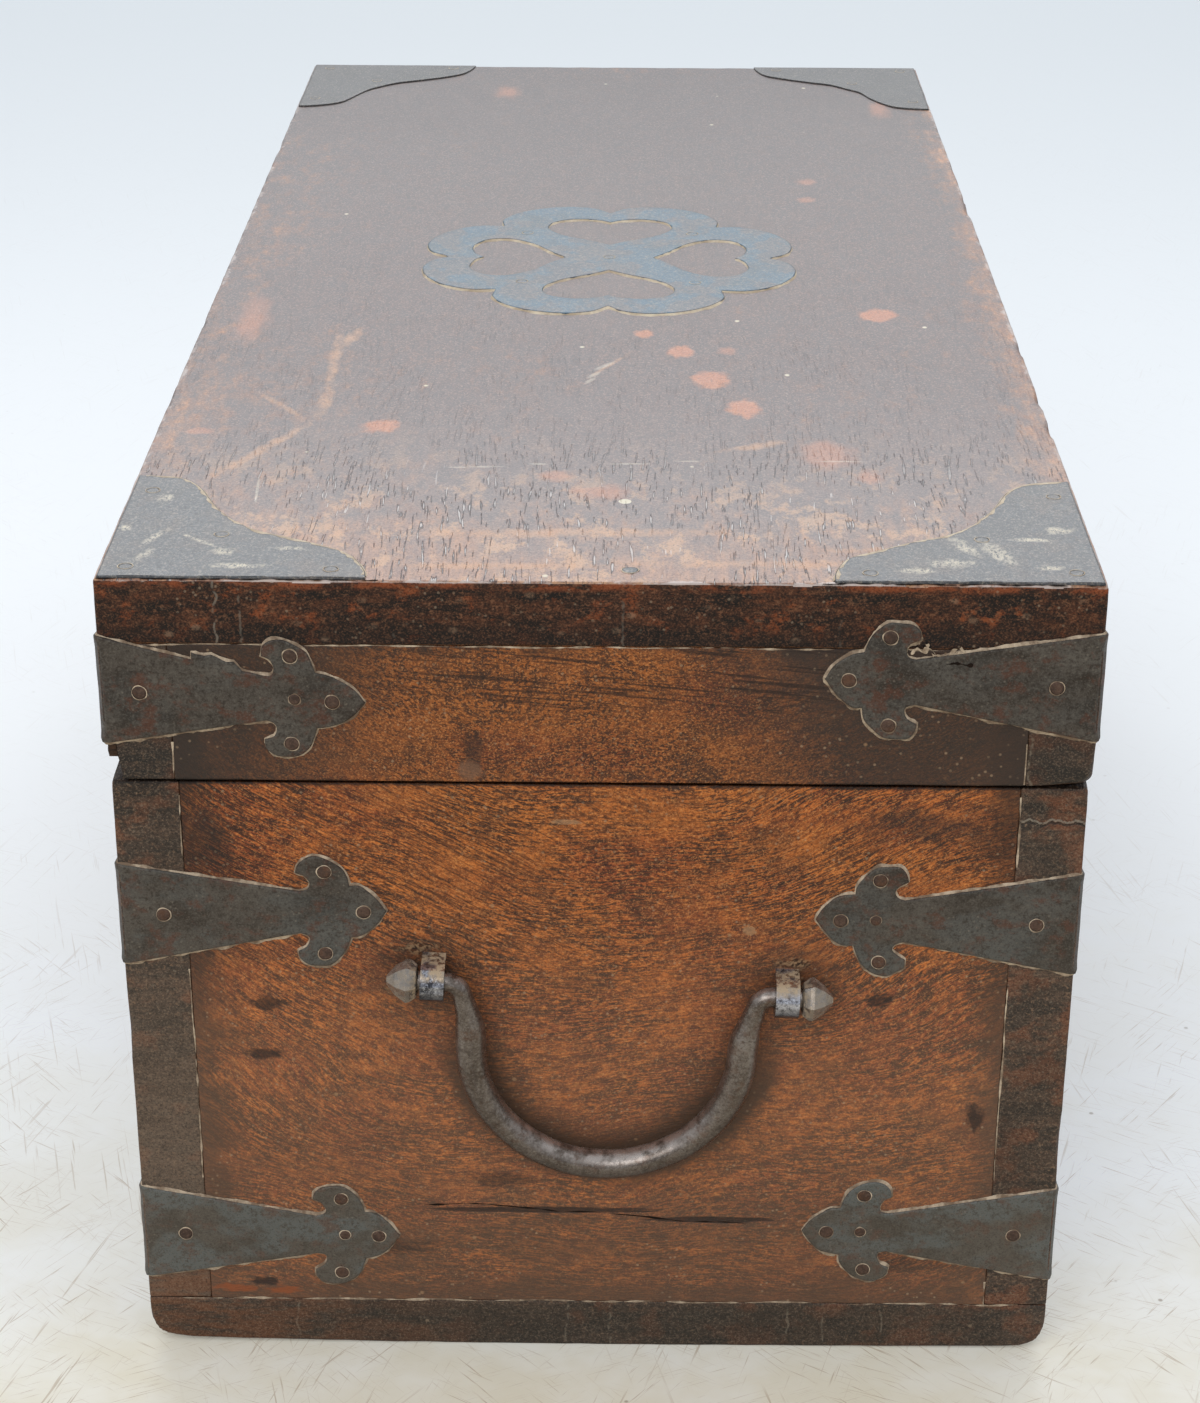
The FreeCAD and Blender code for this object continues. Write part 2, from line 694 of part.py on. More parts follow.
def eye_place():
    """Distance of a lock eye's middle from the chest's middle."""
    return "Sizes.tongue_width / 2 + Sizes.tongue_gap + Sizes.eye_width / 2"


def lock(nails):
    """Two lock eyes on the front board, and the lid's tongue with its ring between them."""
    pattern = new_body("eye_pattern")
    sketch = new_sketch(pattern, "YZ_Plane")
    half = "Sizes.eye_shank / 2"
    neck = f"-Sizes.lock_stand + sqrt(Sizes.eye_radius ^ 2 - ({half}) ^ 2)"
    inside = "Sizes.side_board"
    draw(sketch, [
        ("corner", neck, half),
        ("arc", "-Sizes.lock_stand - Sizes.eye_radius", "0"),
        ("corner", neck, f"-{half}"),
        ("corner", inside, f"-{half}"),
        ("corner", inside, f"-{half} - Sizes.eye_clench"),
        ("corner", f"{inside} + Sizes.eye_bend", f"-{half} - Sizes.eye_clench"),
        ("corner", f"{inside} + Sizes.eye_bend", half),
    ])
    draw_circle(sketch, "-Sizes.lock_stand", "0", "Sizes.lock_bore")
    pad(pattern, sketch, "Sizes.eye_width", midplane=True)
    for side, way in SIDES.items():
        eye = keep(clone(pattern, f"lock_eye_{side}"), f"lock_eye_{side}")
        place(eye, f"{way} * ({eye_place()})", f"-{BODY_HALF_WIDTH}", "Sizes.lock_height")

    tongue = new_body("lock_tongue")
    plate = new_sketch(tongue, "XZ_Plane")
    draw(plate, leaf_path("Sizes.tongue_plate_half", "Sizes.tongue_plate", 1))
    spots = leaf_nail_places("Sizes.tongue_plate_half", "Sizes.tongue_plate", 1)
    for across, up in spots:
        nails["lid"].append((tongue, (across, "-Sizes.tongue_iron", up), (1, 0, 0), 90))
    pad(tongue, plate, "Sizes.tongue_iron")
    ring_out = "-(Sizes.lock_stand - Sizes.lid_overhang)"
    ring_down = f"(Sizes.lock_height - {LID_BASE})"
    reach = "(Sizes.lock_stand - Sizes.lid_overhang - Sizes.tongue_iron)"
    rise = f"sqrt(Sizes.tongue_ring ^ 2 - {reach} ^ 2)"
    strip = new_sketch(tongue, "YZ_Plane")
    draw(strip, [
        ("corner", "0", "Sizes.tongue_iron"),
        ("corner", "-Sizes.tongue_iron", "Sizes.tongue_iron"),
        ("corner", "-Sizes.tongue_iron", f"{ring_down} + {rise}"),
        ("arc", f"{ring_out} - Sizes.tongue_ring", ring_down),
        ("corner", "-Sizes.tongue_iron", f"{ring_down} - {rise}"),
        ("corner", "0", f"{ring_down} - {rise}"),
    ])
    draw_circle(strip, ring_out, ring_down, "Sizes.lock_bore")
    pad(tongue, strip, "Sizes.tongue_width", midplane=True)
    place(tongue, "0", f"-{LID_HALF_WIDTH}", LID_BASE)
    keep(tongue, "lock_tongue")


def staple_across(side):
    """Place across the chest of the front (-1) or back (1) staple."""
    return f"{side} * Sizes.staple_spread - Sizes.handle_shift"


def staple_up(side, tilt):
    """Height of a staple: a tilted handle has its back staple higher than its front one."""
    return f"(Sizes.handle_height + {side} * Sizes.staple_spread * tan({tilt}))"


def end_turn(angle, tilt):
    """Turn of a piece on an end: towards that end, then tilted across it."""
    return Rotation(Vector(1, 0, 0), value(tilt)) * Rotation(Vector(0, 0, 1), angle)


def staples():
    """Strip staples: over the bail's stub, through the end board and clenched inside it."""
    pattern = new_body("staple_pattern")
    sketch = new_sketch(pattern, "XZ_Plane")
    stand = "Sizes.pivot_stand"
    inside = "-Sizes.end_board"
    deep = "-Sizes.end_board - Sizes.staple_iron"
    clench = f"({STAPLE_OUTER} + Sizes.staple_clench)"
    half = [
        ("arc", f"{stand} + {STAPLE_OUTER}", "0"),
        ("corner", stand, STAPLE_OUTER),
        ("corner", inside, STAPLE_OUTER),
        ("corner", inside, clench),
        ("corner", deep, clench),
        ("corner", deep, STAPLE_INNER),
        ("corner", stand, STAPLE_INNER),
    ]
    lower = [(kind, out, f"-{up}") for kind, out, up in reversed(half[1:])]
    draw(sketch, half + [("arc", f"{stand} + {STAPLE_INNER}", "0")] + lower)
    pad(pattern, sketch, "Sizes.staple_width", midplane=True)
    for end, (way, angle, tilt) in ENDS.items():
        pieces = []
        for name, side in (("front", -1), ("back", 1)):
            staple = clone(pattern, f"{end}_staple_{name}")
            pieces.append(place(staple, f"{way} * {BODY_HALF_LENGTH}", staple_across(side),
                                staple_up(side, tilt), end_turn(angle, tilt)))
        group(f"{end}_staples", pieces)


def bail_stations():
    """Stations along half a bail, from its lowest point to the stub: across, up, heading, radius.

    The grip is a half circle. An arc flares outward, a straight stretch tapers along the flare, and
    a tight arc turns into the stub.
    """
    half = value("Sizes.bail_half")
    taper = value("Sizes.bail_taper")
    flare = math.radians(value("Sizes.flare_angle"))
    rise = value("Sizes.bail_drop") - half
    run = value("Sizes.stub_start") - half
    across = (1 - math.cos(flare), math.cos(flare))
    up = (math.sin(flare), 1 - math.sin(flare))
    arcs_run = run - taper * math.sin(flare)
    arcs_rise = rise - taper * math.cos(flare)
    scale = across[0] * up[1] - across[1] * up[0]
    long_arc = (arcs_run * up[1] - arcs_rise * across[1]) / scale
    tight_arc = (arcs_rise * across[0] - arcs_run * up[0]) / scale
    quarter = math.pi / 2
    stations = []
    for step in range(BAIL_ARC_STEPS + 1):
        angle = quarter * step / BAIL_ARC_STEPS
        stations.append((half * math.sin(angle), -rise - half * math.cos(angle), angle,
                         "Sizes.bail_rod"))
    for step in range(1, FLARE_STEPS + 1):
        angle = flare * step / FLARE_STEPS
        stations.append((half + long_arc * (1 - math.cos(angle)),
                         long_arc * math.sin(angle) - rise, quarter - angle, "Sizes.bail_rod"))
    for step in range(SHOULDER_STEPS + 1):
        angle = flare + (quarter - flare) * step / SHOULDER_STEPS
        stations.append((half + run - tight_arc * math.cos(angle),
                         tight_arc * (math.sin(angle) - 1), quarter - angle, "Sizes.stub_rod"))
    stub_end = value("Sizes.staple_spread + Sizes.staple_width / 2 + Sizes.knob_gap")
    stations.append((stub_end + value("Sizes.knob_tip"), 0.0, 0.0, "Sizes.stub_rod"))
    return stations


def ring_of(sides, radius, across, up, heading):
    """A regular polygon square to a heading in the bail's plane, one corner facing outward."""
    section = doc.addObject("Part::RegularPolygon", "Section")
    section.Polygon = sides
    section.setExpression("Circumradius", radius)
    section.Placement = Placement(
        Vector(0, across, up), Rotation(Vector(1, 0, 0), math.degrees(heading) - 90))
    return section


def bail_rod():
    """The forged rod, eight-sided, as thick all round the grip and tapering in the flare."""
    half = bail_stations()
    other = [(-across, up, -heading, radius) for across, up, heading, radius in reversed(half[1:])]
    return loft([ring_of(ROD_SIDES, radius, across, up, heading)
                 for across, up, heading, radius in other + half])


def bail_knob(side):
    """A faceted knob on a stub's end: a short flare and a long blunt point."""
    start = value("Sizes.staple_spread + Sizes.staple_width / 2 + Sizes.knob_gap")
    sections = []
    for share, radius in KNOB_SECTIONS:
        across = side * (start + share * value("Sizes.knob_length"))
        sections.append(ring_of(KNOB_SIDES, radius, across, 0, 0))
    return loft(sections)


def loft(sections):
    solid = doc.addObject("Part::Loft", "Loft")
    solid.Sections = sections
    solid.Solid = True
    solid.Ruled = True
    solid.Linearize = True
    return solid


def bails():
    """The two bail handles, each a rod with a knob fused to either end."""
    pattern = doc.addObject("Part::MultiFuse", "bail_pattern")
    pattern.Shapes = [bail_rod(), bail_knob(-1), bail_knob(1)]
    doc.recompute()
    for end, (way, angle, tilt) in ENDS.items():
        bail = keep(clone(pattern, f"{end}_bail"), f"{end}_bail")
        place(bail, f"{way} * ({BODY_HALF_LENGTH} + Sizes.pivot_stand)", "-Sizes.handle_shift",
              "Sizes.handle_height", end_turn(angle, tilt))


def pyramid(name, base, height, turn):
    """A square pyramid on the origin; a turn of 90 points it up and one of -90 down."""
    block = doc.addObject("Part::Wedge", name)
    for axis in "XZ":
        block.setExpression(f"{axis}min", f"-{base} / 2")
        block.setExpression(f"{axis}max", f"{base} / 2")
        setattr(block, f"{axis}2min", 0)
        setattr(block, f"{axis}2max", 0)
    block.Ymin = 0
    block.setExpression("Ymax", height)
    block.Placement = Placement(Vector(), Rotation(Vector(1, 0, 0), turn))
    return block


def nail_groups(nails):
    """All the nails of the carcase in one group, and all those of the lid in another."""
    pattern = doc.addObject("Part::MultiFuse", "nail_pattern")
    pattern.Shapes = [
        pyramid("Head", "Sizes.nail_head", "Sizes.nail_head_height", 90),
        pyramid("Shank", "Sizes.nail_shank", "Sizes.nail_length", -90),
    ]
    doc.recompute()
    for owner, spots in nails.items():
        copies = []
        for carrier, point, axis, angle in spots:
            local = Placement(Vector(*(value(size) for size in point)),
                              Rotation(Vector(*axis), angle))
            copy = pattern.Shape.copy()
            copy.Placement = carrier.Placement.multiply(local)
            copies.append(copy)
        cluster = doc.addObject("Part::Feature", f"{owner}_nails")
        cluster.Shape = Part.makeCompound(copies)
        keep(cluster, f"{owner}_nails")


def check_and_write():
    """Stops on a failed object or a broken shape, and writes one file to each sub-part."""
    doc.recompute()
    for item in doc.Objects:
        if {"Invalid", "Error"} & set(item.State):
            raise RuntimeError(f"{item.Name} ({item.Label}) failed: {item.State}")
    for item in parts:
        if item.Shape.isNull() or not item.Shape.isValid() or not item.Shape.Solids:
            raise RuntimeError(f"{item.Label} has no valid solid")
    os.makedirs("parts", exist_ok=True)
    for item in parts:
        item.Shape.exportStep(os.path.join("parts", f"{item.Label}.step"))
        print(f"{item.Label}: {len(item.Shape.Solids)} solids, {item.Shape.Volume:.0f} mm3")


def main():
    fill_sheet()
    nails = {"body": [], "lid": []}
    body_boards()
    lid_boards()
    pegs()
    straps(nails)
    corner_plates(nails)
    ornament(nails)
    hinges(nails)
    lock(nails)
    staples()
    bails()
    nail_groups(nails)
    check_and_write()


main()
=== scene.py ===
"""Looks of the iron-bound document chest: worn boards, sheet-iron fittings, forged bails, dust."""
import math
import random
from functools import reduce
from operator import or_

import bpy
from mathutils import Euler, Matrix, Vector, noise
from mathutils.geometry import delaunay_2d_cdt


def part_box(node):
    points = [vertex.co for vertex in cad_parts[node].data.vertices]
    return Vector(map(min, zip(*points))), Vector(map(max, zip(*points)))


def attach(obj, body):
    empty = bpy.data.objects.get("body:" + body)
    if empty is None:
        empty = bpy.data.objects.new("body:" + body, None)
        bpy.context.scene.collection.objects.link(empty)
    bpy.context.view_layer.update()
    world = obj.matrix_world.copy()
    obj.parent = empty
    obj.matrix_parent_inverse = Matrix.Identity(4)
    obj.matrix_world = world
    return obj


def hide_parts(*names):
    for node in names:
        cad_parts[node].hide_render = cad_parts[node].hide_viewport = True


MM = 0.001
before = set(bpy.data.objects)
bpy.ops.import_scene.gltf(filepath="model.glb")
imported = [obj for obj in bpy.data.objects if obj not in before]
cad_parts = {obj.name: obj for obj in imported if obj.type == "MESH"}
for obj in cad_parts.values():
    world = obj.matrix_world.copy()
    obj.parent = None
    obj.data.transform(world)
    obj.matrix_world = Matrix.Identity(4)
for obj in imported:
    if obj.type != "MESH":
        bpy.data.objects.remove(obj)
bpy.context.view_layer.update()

# Sizes of the solids in millimetres. X runs from the near end to the far one, Y from front to back.
HALF_LENGTH = 232.0
HALF_WIDTH = 104.5
OVERHANG = 0.7
LID_BASE = 148.0
LID_DECK = 179.7
LID_TOP = 194.3
LID_HALF_LENGTH = HALF_LENGTH + OVERHANG
LID_HALF_WIDTH = HALF_WIDTH + OVERHANG
SEAM = 147.5
SHEET = 0.8
# Worn nail heads: radius and height.
STRAP_NAIL = (1.52, 0.20)
CENTRE_NAIL = (1.2, 0.25)
PLATE_NAIL = (1.5, 0.12)
LEAF_NAIL = (1.55, 0.35)
TOP_NAIL = (1.7, 0.12)
HINGE_PLACE = 130
HINGE_HEIGHT = 147.6
BAIL_OUT, BAIL_SIDE, BAIL_HEIGHT = 237.2, -2.5, 99.6


# ---------------------------------------------------------------- materials

def operation(kind, swapped=False):
    """A method of Value that adds a math node."""
    def apply(value, other=None):
        return value.graph.math(kind, *((other, value) if swapped else (value, other)))
    return apply


class Value:
    """An output in a material's graph, with arithmetic; a | b is the larger of the two."""
    __add__, __radd__ = operation("ADD"), operation("ADD", True)
    __sub__, __rsub__ = operation("SUBTRACT"), operation("SUBTRACT", True)
    __mul__, __rmul__ = operation("MULTIPLY"), operation("MULTIPLY", True)
    __or__, __abs__ = operation("MAXIMUM"), operation("ABSOLUTE")

    def __init__(self, graph, socket):
        self.graph, self.socket = graph, socket


class Graph:
    """Builds one material's nodes. Lengths are in millimetres, and tone is the colour so far."""

    def __init__(self, name):
        self.material = bpy.data.materials.new(name)
        self.material.use_nodes = True
        self.tree = self.material.node_tree
        self.tree.nodes.clear()
        self.shader = self.node("BsdfPrincipled")
        self.tree.links.new(self.shader.outputs[0], self.node("OutputMaterial").inputs[0])
        place = self.node("TexCoord")
        self.normal = place.outputs["Normal"]
        self.point = self.vector("MULTIPLY", place.outputs["Object"], (1000, 1000, 1000))
        self.x, self.y, self.z = self.split(self.point)
        self.tone = None
        self.seed = 0

    def plug(self, socket, source):
        source = source.socket if isinstance(source, Value) else source
        if isinstance(source, bpy.types.NodeSocket):
            self.tree.links.new(source, socket)
        elif source is not None:
            socket.default_value = source

    def node(self, kind, *sources, **settings):
        """A new node with its settings and its first inputs."""
        node = self.tree.nodes.new("ShaderNode" + kind)
        for name, setting in settings.items():
            setattr(node, name, setting)
        for socket, source in zip(node.inputs, sources):
            self.plug(socket, source)
        return node

    def math(self, kind, *sources, clamp=False):
        return Value(self, self.node("Math", *sources, operation=kind, use_clamp=clamp).outputs[0])

    def vector(self, kind, *sources):
        return Value(self, self.node("VectorMath", *sources, operation=kind).outputs["Vector"])

    def length(self, source):
        return Value(self, self.node("VectorMath", source, operation="LENGTH").outputs["Value"])

    def split(self, source):
        return [Value(self, part) for part in self.node("SeparateXYZ", source).outputs]

    def join(self, x, y, z):
        return Value(self, self.node("CombineXYZ", x, y, z).outputs[0])

    def texture(self, kind, size, at, spread):
        """A texture whose cells measure the given millimetres; each new one lies elsewhere."""
        self.seed += 1
        stretched = self.vector("DIVIDE", at or self.point, size)
        node = self.node(kind)
        self.plug(node.inputs["Vector"], self.vector("ADD", stretched, [self.seed * part for part in spread]))
        node.inputs["Scale"].default_value = 1.0
        return node

    def noise(self, size, detail=2.0, rough=0.5, at=None):
        node = self.texture("TexNoise", size, at, (17.3, 31.7, 11.9))
        node.inputs["Detail"].default_value = detail
        node.inputs["Roughness"].default_value = rough
        return Value(self, node.outputs[0])

    def cells(self, size):
        """Distance to the nearest of scattered points."""
        return Value(self, self.texture("TexVoronoi", size, None, (7.3, 3.7, 5.9)).outputs["Distance"])

    def step(self, source, low, high, start=0.0, stop=1.0):
        """A smooth step from start to stop as the source goes from low to high."""
        return Value(self, self.node("MapRange", source, low, high, start, stop,
                                     interpolation_type="SMOOTHSTEP").outputs[0])

    def mix(self, share, first, second):
        node = self.node("Mix", data_type="RGBA")
        for place, source in ((0, share), (6, first), (7, second)):
            self.plug(node.inputs[place], source)
        return Value(self, node.outputs[2])

    def paint(self, share, *colour):
        """Mixes a share of a colour, three numbers or another tone, over the tone."""
        self.tone = self.mix(share, self.tone, srgb(*colour) if len(colour) == 3 else colour[0])

    def spot(self, centre, radii, rag, soft, share=None):
        """One, or a share, inside an ellipsoid with a ragged rim, and zero outside it."""
        away = self.length(self.vector("DIVIDE", self.vector("SUBTRACT", self.point, centre), radii))
        wobble = self.noise([max(0.8, size * 0.6) for size in radii], 3.0)
        mark = self.step(wobble * (2 * rag) + (away - rag), 1.0, 1.0 - soft)
        return mark * share if share else mark

    def spots(self, rows):
        return reduce(or_, (self.spot(*row) for row in rows))

    def end_marks(self, rows, x=-HALF_LENGTH):
        """Spots on the near end: rows of (y, z, half width, half height, rag, softness, share)."""
        return self.spots([((x, y, z), (6, wide, high), *rest) for y, z, wide, high, *rest in rows])

    def top_marks(self, rows):
        """Spots on the lid's top: rows of (x, y, half length, half width, rag, softness, share)."""
        return self.spots([((x, y, 194), (long, wide, 5), *rest) for x, y, long, wide, *rest in rows])

    def streaks(self, rows, size, strength=2.6):
        """Ragged thin ellipses on a level face: rows of (x, y, half length, half width, degrees)."""
        def streak(x, y, long, wide, angle):
            turn = math.radians(angle)
            over, up = self.x - x, self.y - y
            run = over * (math.cos(turn) / long) + up * (math.sin(turn) / long)
            off = over * (-math.sin(turn) / wide) + up * (math.cos(turn) / wide)
            away = run * run + off * off
            return self.step(self.noise(size, 4.0, 0.65) * strength + away, 2.2, 0.9)
        return reduce(or_, (streak(*row) for row in rows))

    def sand(self, dark, light, dark_share, light_share):
        """Fine dark and light grains, the same in every material."""
        kept, self.seed = self.seed, 40
        grain = self.noise((0.55, 0.5, 0.42), 2.0, 0.8)
        self.seed = kept
        self.paint(self.step(grain, 0.53, 0.66) * dark_share, dark)
        self.paint(self.step(grain, 0.47, 0.34) * light_share, light)

    def motes(self, size, share):
        """Small pale specks that lie thicker in some places."""
        where = self.step(self.noise((16, 14, 11), 4.0, 0.6), 0.42, 0.62)
        return self.step(self.cells((size, size, size)), 0.22, 0.10) * where * share

    def bump(self, height, strength, distance, below=None):
        node = self.node("Bump")
        for name, source in (("Strength", strength), ("Distance", distance * MM), ("Height", height),
                             ("Normal", below)):
            self.plug(node.inputs[name], source)
        return Value(self, node.outputs[0])

    def finish(self, roughness, normal=None, metallic=0.0, specular=0.5):
        for name, source in (("Base Color", self.tone), ("Roughness", roughness), ("Metallic", metallic),
                             ("Specular IOR Level", specular), ("Normal", normal)):
            self.plug(self.shader.inputs[name], source)
        return self.material


def srgb(red, green, blue):
    """A colour given as it looks, 0 to 255."""
    parts = []
    for part in (red, green, blue):
        part /= 255
        parts.append(part / 12.92 if part <= 0.04045 else ((part + 0.055) / 1.055) ** 2.4)
    return (*parts, 1.0)


def seam_grime(g):
    """Black grime in the gap between lid and body."""
    rag = g.noise((9, 6, 6), 3.0) * 1.2
    away = abs(g.z - SEAM) + rag
    g.paint(g.step(away, 1.7, 1.0) * 0.85, 26, 18, 13)


def panel_wood():
    """Figured wood of the ends: short dark dashes that follow a grain hung down in the middle."""
    g = Graph("figured_panel")
    drift = (g.noise((90, 80, 60), 1.0) - 0.5) * 34.0
    small = (g.noise((30, 26, 12), 1.0) - 0.5) * 3.0
    across = g.y + 6.0
    hang = across * across * g.step(g.z, 40, 120, -0.0012, -0.0036)
    level = g.z + drift + (small + hang)
    grain = g.join(g.x, g.y, level)
    dash = g.noise((5, 2.6, 0.44), 1.0, 0.5, grain)
    nick = g.noise((5, 1.4, 0.36), 1.0, 0.5, grain)
    long_dash = g.noise((9, 12, 0.5), 2.0, 0.5, grain)
    speck = g.noise((1.2, 1.0, 0.5), 3.0, 0.75, grain)
    mottle = g.noise((7, 4.6, 1.9), 4.0, 0.7, grain)
    cloud = g.noise((50, 34, 20), 5.0, 0.62)
    dense = g.noise((34, 24, 15), 4.0, 0.6)
    dots = g.noise((2.0, 1.1, 0.6), 1.5, 0.6, grain)
    lid = g.step(g.z, 147.4, 147.8)

    g.tone = g.mix(g.step(mottle, 0.38, 0.6), srgb(116, 56, 32), srgb(206, 114, 50))
    g.paint(g.step(cloud, 0.42, 0.62) * 0.6, 138, 63, 38)
    glow = g.step(g.z, 84, 140) * g.step(g.noise((50, 50, 24), 3.0), 0.36, 0.58)
    glow = glow * g.step(g.y, 92, 40, 0.25, 1.0)
    g.paint(glow * 0.6, 202, 118, 50)
    g.paint(g.step(speck, 0.55, 0.66) * 0.75, 228, 148, 78)
    many = g.step(dense, 0.32, 0.6, 0.35, 1.0)
    dark = g.step(g.mix(lid, dash, dots), 0.52, 0.58) | g.step(nick, 0.56, 0.62) * 0.85
    dark = dark * many
    g.paint(dark * 0.86, 46, 33, 29)
    streak = g.step(long_dash, 0.555, 0.62) * (many * g.step(lid, 1, 0, 0.3, 1.0))
    g.paint(streak * 0.78, 46, 34, 30)
    g.paint(g.step(speck, 0.46, 0.34) * 0.75, 46, 31, 26)
    g.paint(lid * 0.38, 70, 42, 31)
    blot = g.step(g.noise((30, 20, 11), 5.0, 0.68), 0.53, 0.66)
    g.paint(blot * (lid * 0.25 + 0.5), 66, 44, 34)

    g.sand(srgb(56, 32, 22), srgb(220, 148, 88), 0.55, 0.55)

    # Grime along the rim of the panel, rubbed dirt and painted shade inside the bail's curve, a dusty film low
    # down.
    rag = g.noise((20, 14, 11), 4.0, 0.65) * 22.0
    side = 96.0 - abs(g.y) - rag
    foot = g.z - 10.0 - rag
    head = 186.0 - g.z - rag
    rim = g.step(side, 7, -5) | g.step(foot, 6, -8) | g.step(head, -1, -8)
    # Painted shade inside the bail's curve: a dark band close to the rod where its shadow falls, partly rubbed
    # dirt.
    around = g.join(0.0, g.y + 2.5, g.z - 84.2)
    away = g.length(around) + (dense - 0.5) * 7.0
    rub_and_shade = g.step(away, 17.0, 29.0) * g.step(away, 41.0, 36.0)
    outside = g.step(abs(g.x), 222, 228)
    rub_and_shade = rub_and_shade * rub_and_shade * (g.step(g.z, 95, 68) * outside)
    perch = abs(g.y + 2.5) - 41.0
    perch = g.length(g.join(0.0, perch, g.z - 99.0))
    dirt = rim * 0.8 | g.step(perch, 15, 5) * 0.5 * outside
    low = g.step(g.z, 70, 26) * g.step(g.noise((30, 30, 10), 4.0, 0.6), 0.34, 0.6)
    wide = g.z * 0.5 + abs(g.y - 10)
    corner = lid * g.step(wide + rag, 116, 158)
    g.paint(dirt | low * 0.55, 50, 38, 31)
    g.paint(corner * 0.85, 54, 46, 41)
    g.paint(rub_and_shade * 0.92, 26, 18, 15)
    film = g.step(g.z, 135, 64, 0.02, 0.28)
    g.paint(film, 158, 124, 100)
    g.paint(g.motes(1.9, 0.45), 186, 156, 124)

    knots = (
        g.end_marks([(73.3, 92.2, 5.0, 2.0, 0.6, 0.5), (74.5, 79.2, 5.2, 1.8, 0.6, 0.5),
                     (-62.2, 94.4, 3.6, 2.2, 0.6, 0.5), (-84.9, 63.7, 2.6, 4.2, 0.6, 0.5)])
        | g.end_marks([(26.8, 154.6, 2.6, 7.0, 0.6, 0.6, 0.8)], -LID_HALF_LENGTH)
        | g.end_marks([(-70, 138, 22, 7, 0.9, 0.9, 0.6), (84, 134, 8, 13, 0.8, 0.8, 0.8),
                       (22, 46, 9, 3.0, 0.8, 0.8, 0.6), (46, 27, 12, 3.0, 0.8, 0.8, 0.6),
                       (-70, 24, 12, 3.5, 0.8, 0.8, 0.6), (77, 17.4, 4, 1.6, 0.6, 0.5),
                       (12.0, 37.9, 30.0, 1.0, 0.5, 0.3), (-26.0, 35.6, 16.0, 1.0, 0.5, 0.3)]))
    g.paint(knots * 0.8, 46, 38, 35)
    chips = g.end_marks([(84.5, 15.4, 5.6, 1.7, 0.9, 0.6), (73.0, 14.9, 4.6, 1.5, 0.9, 0.6)])
    g.paint(chips * 0.8, 154, 84, 48)
    pale = (g.end_marks([(-33.0, 111.8, 1.8, 1.2, 0.6, 0.3), (7.4, 138.2, 4.6, 0.7, 0.8, 0.3)])
            | g.step(g.cells((9, 13, 13)), 0.05, 0.02))
    g.paint(pale * 0.6, 176, 138, 102)
    sloping = g.join(g.x, g.y, g.y * -0.085 + g.z)
    lines = g.step(g.noise((9, 24, 0.75), 3.0, 0.6, sloping), 0.53, 0.63)
    lines = lines * g.step(g.z, 161, 168) * g.step(g.y, 70, 20)
    g.paint(lines * 0.75, 44, 31, 26)
    slanting = g.join(g.x, g.y, g.y * -0.62 + g.z)
    lines = g.step(g.noise((9, 15, 0.62), 2.0, 0.6, slanting), 0.54, 0.62)
    lines = lines * (g.step(g.z, 92, 112) * (g.step(g.z, 147.6, 147.2) * g.step(g.y, -30, 20)))
    g.paint(lines * 0.62, 54, 35, 28)
    crumbs = g.end_marks([(39.5, 107.0, 7.0, 2.2, 0.9, 0.8), (-43.5, 103.6, 6.0, 1.8, 0.9, 0.8),
                          (44.5, 96.4, 4.0, 1.8, 0.9, 0.8)])
    g.paint(crumbs * 0.75, g.mix(g.step(dots, 0.42, 0.58), srgb(36, 27, 22), srgb(158, 128, 96)))
    seam_grime(g)
    smear = g.end_marks([(27.6, 150.6, 3.6, 3.2, 0.5, 0.5)], -LID_HALF_LENGTH)
    g.paint(smear * 0.75, 126, 92, 70)

    height = speck * 0.8 - dark * 0.8
    height = height - knots * 0.8
    normal = g.bump(height, 0.7, 0.18)
    normal = g.bump(g.noise((60, 22, 14), 3.0), 0.4, 0.7, normal)
    rough = g.step(cloud + dirt * 0.4, 0.3, 1.0, 0.42, 0.66)
    return g.finish(rough, normal, specular=0.3)


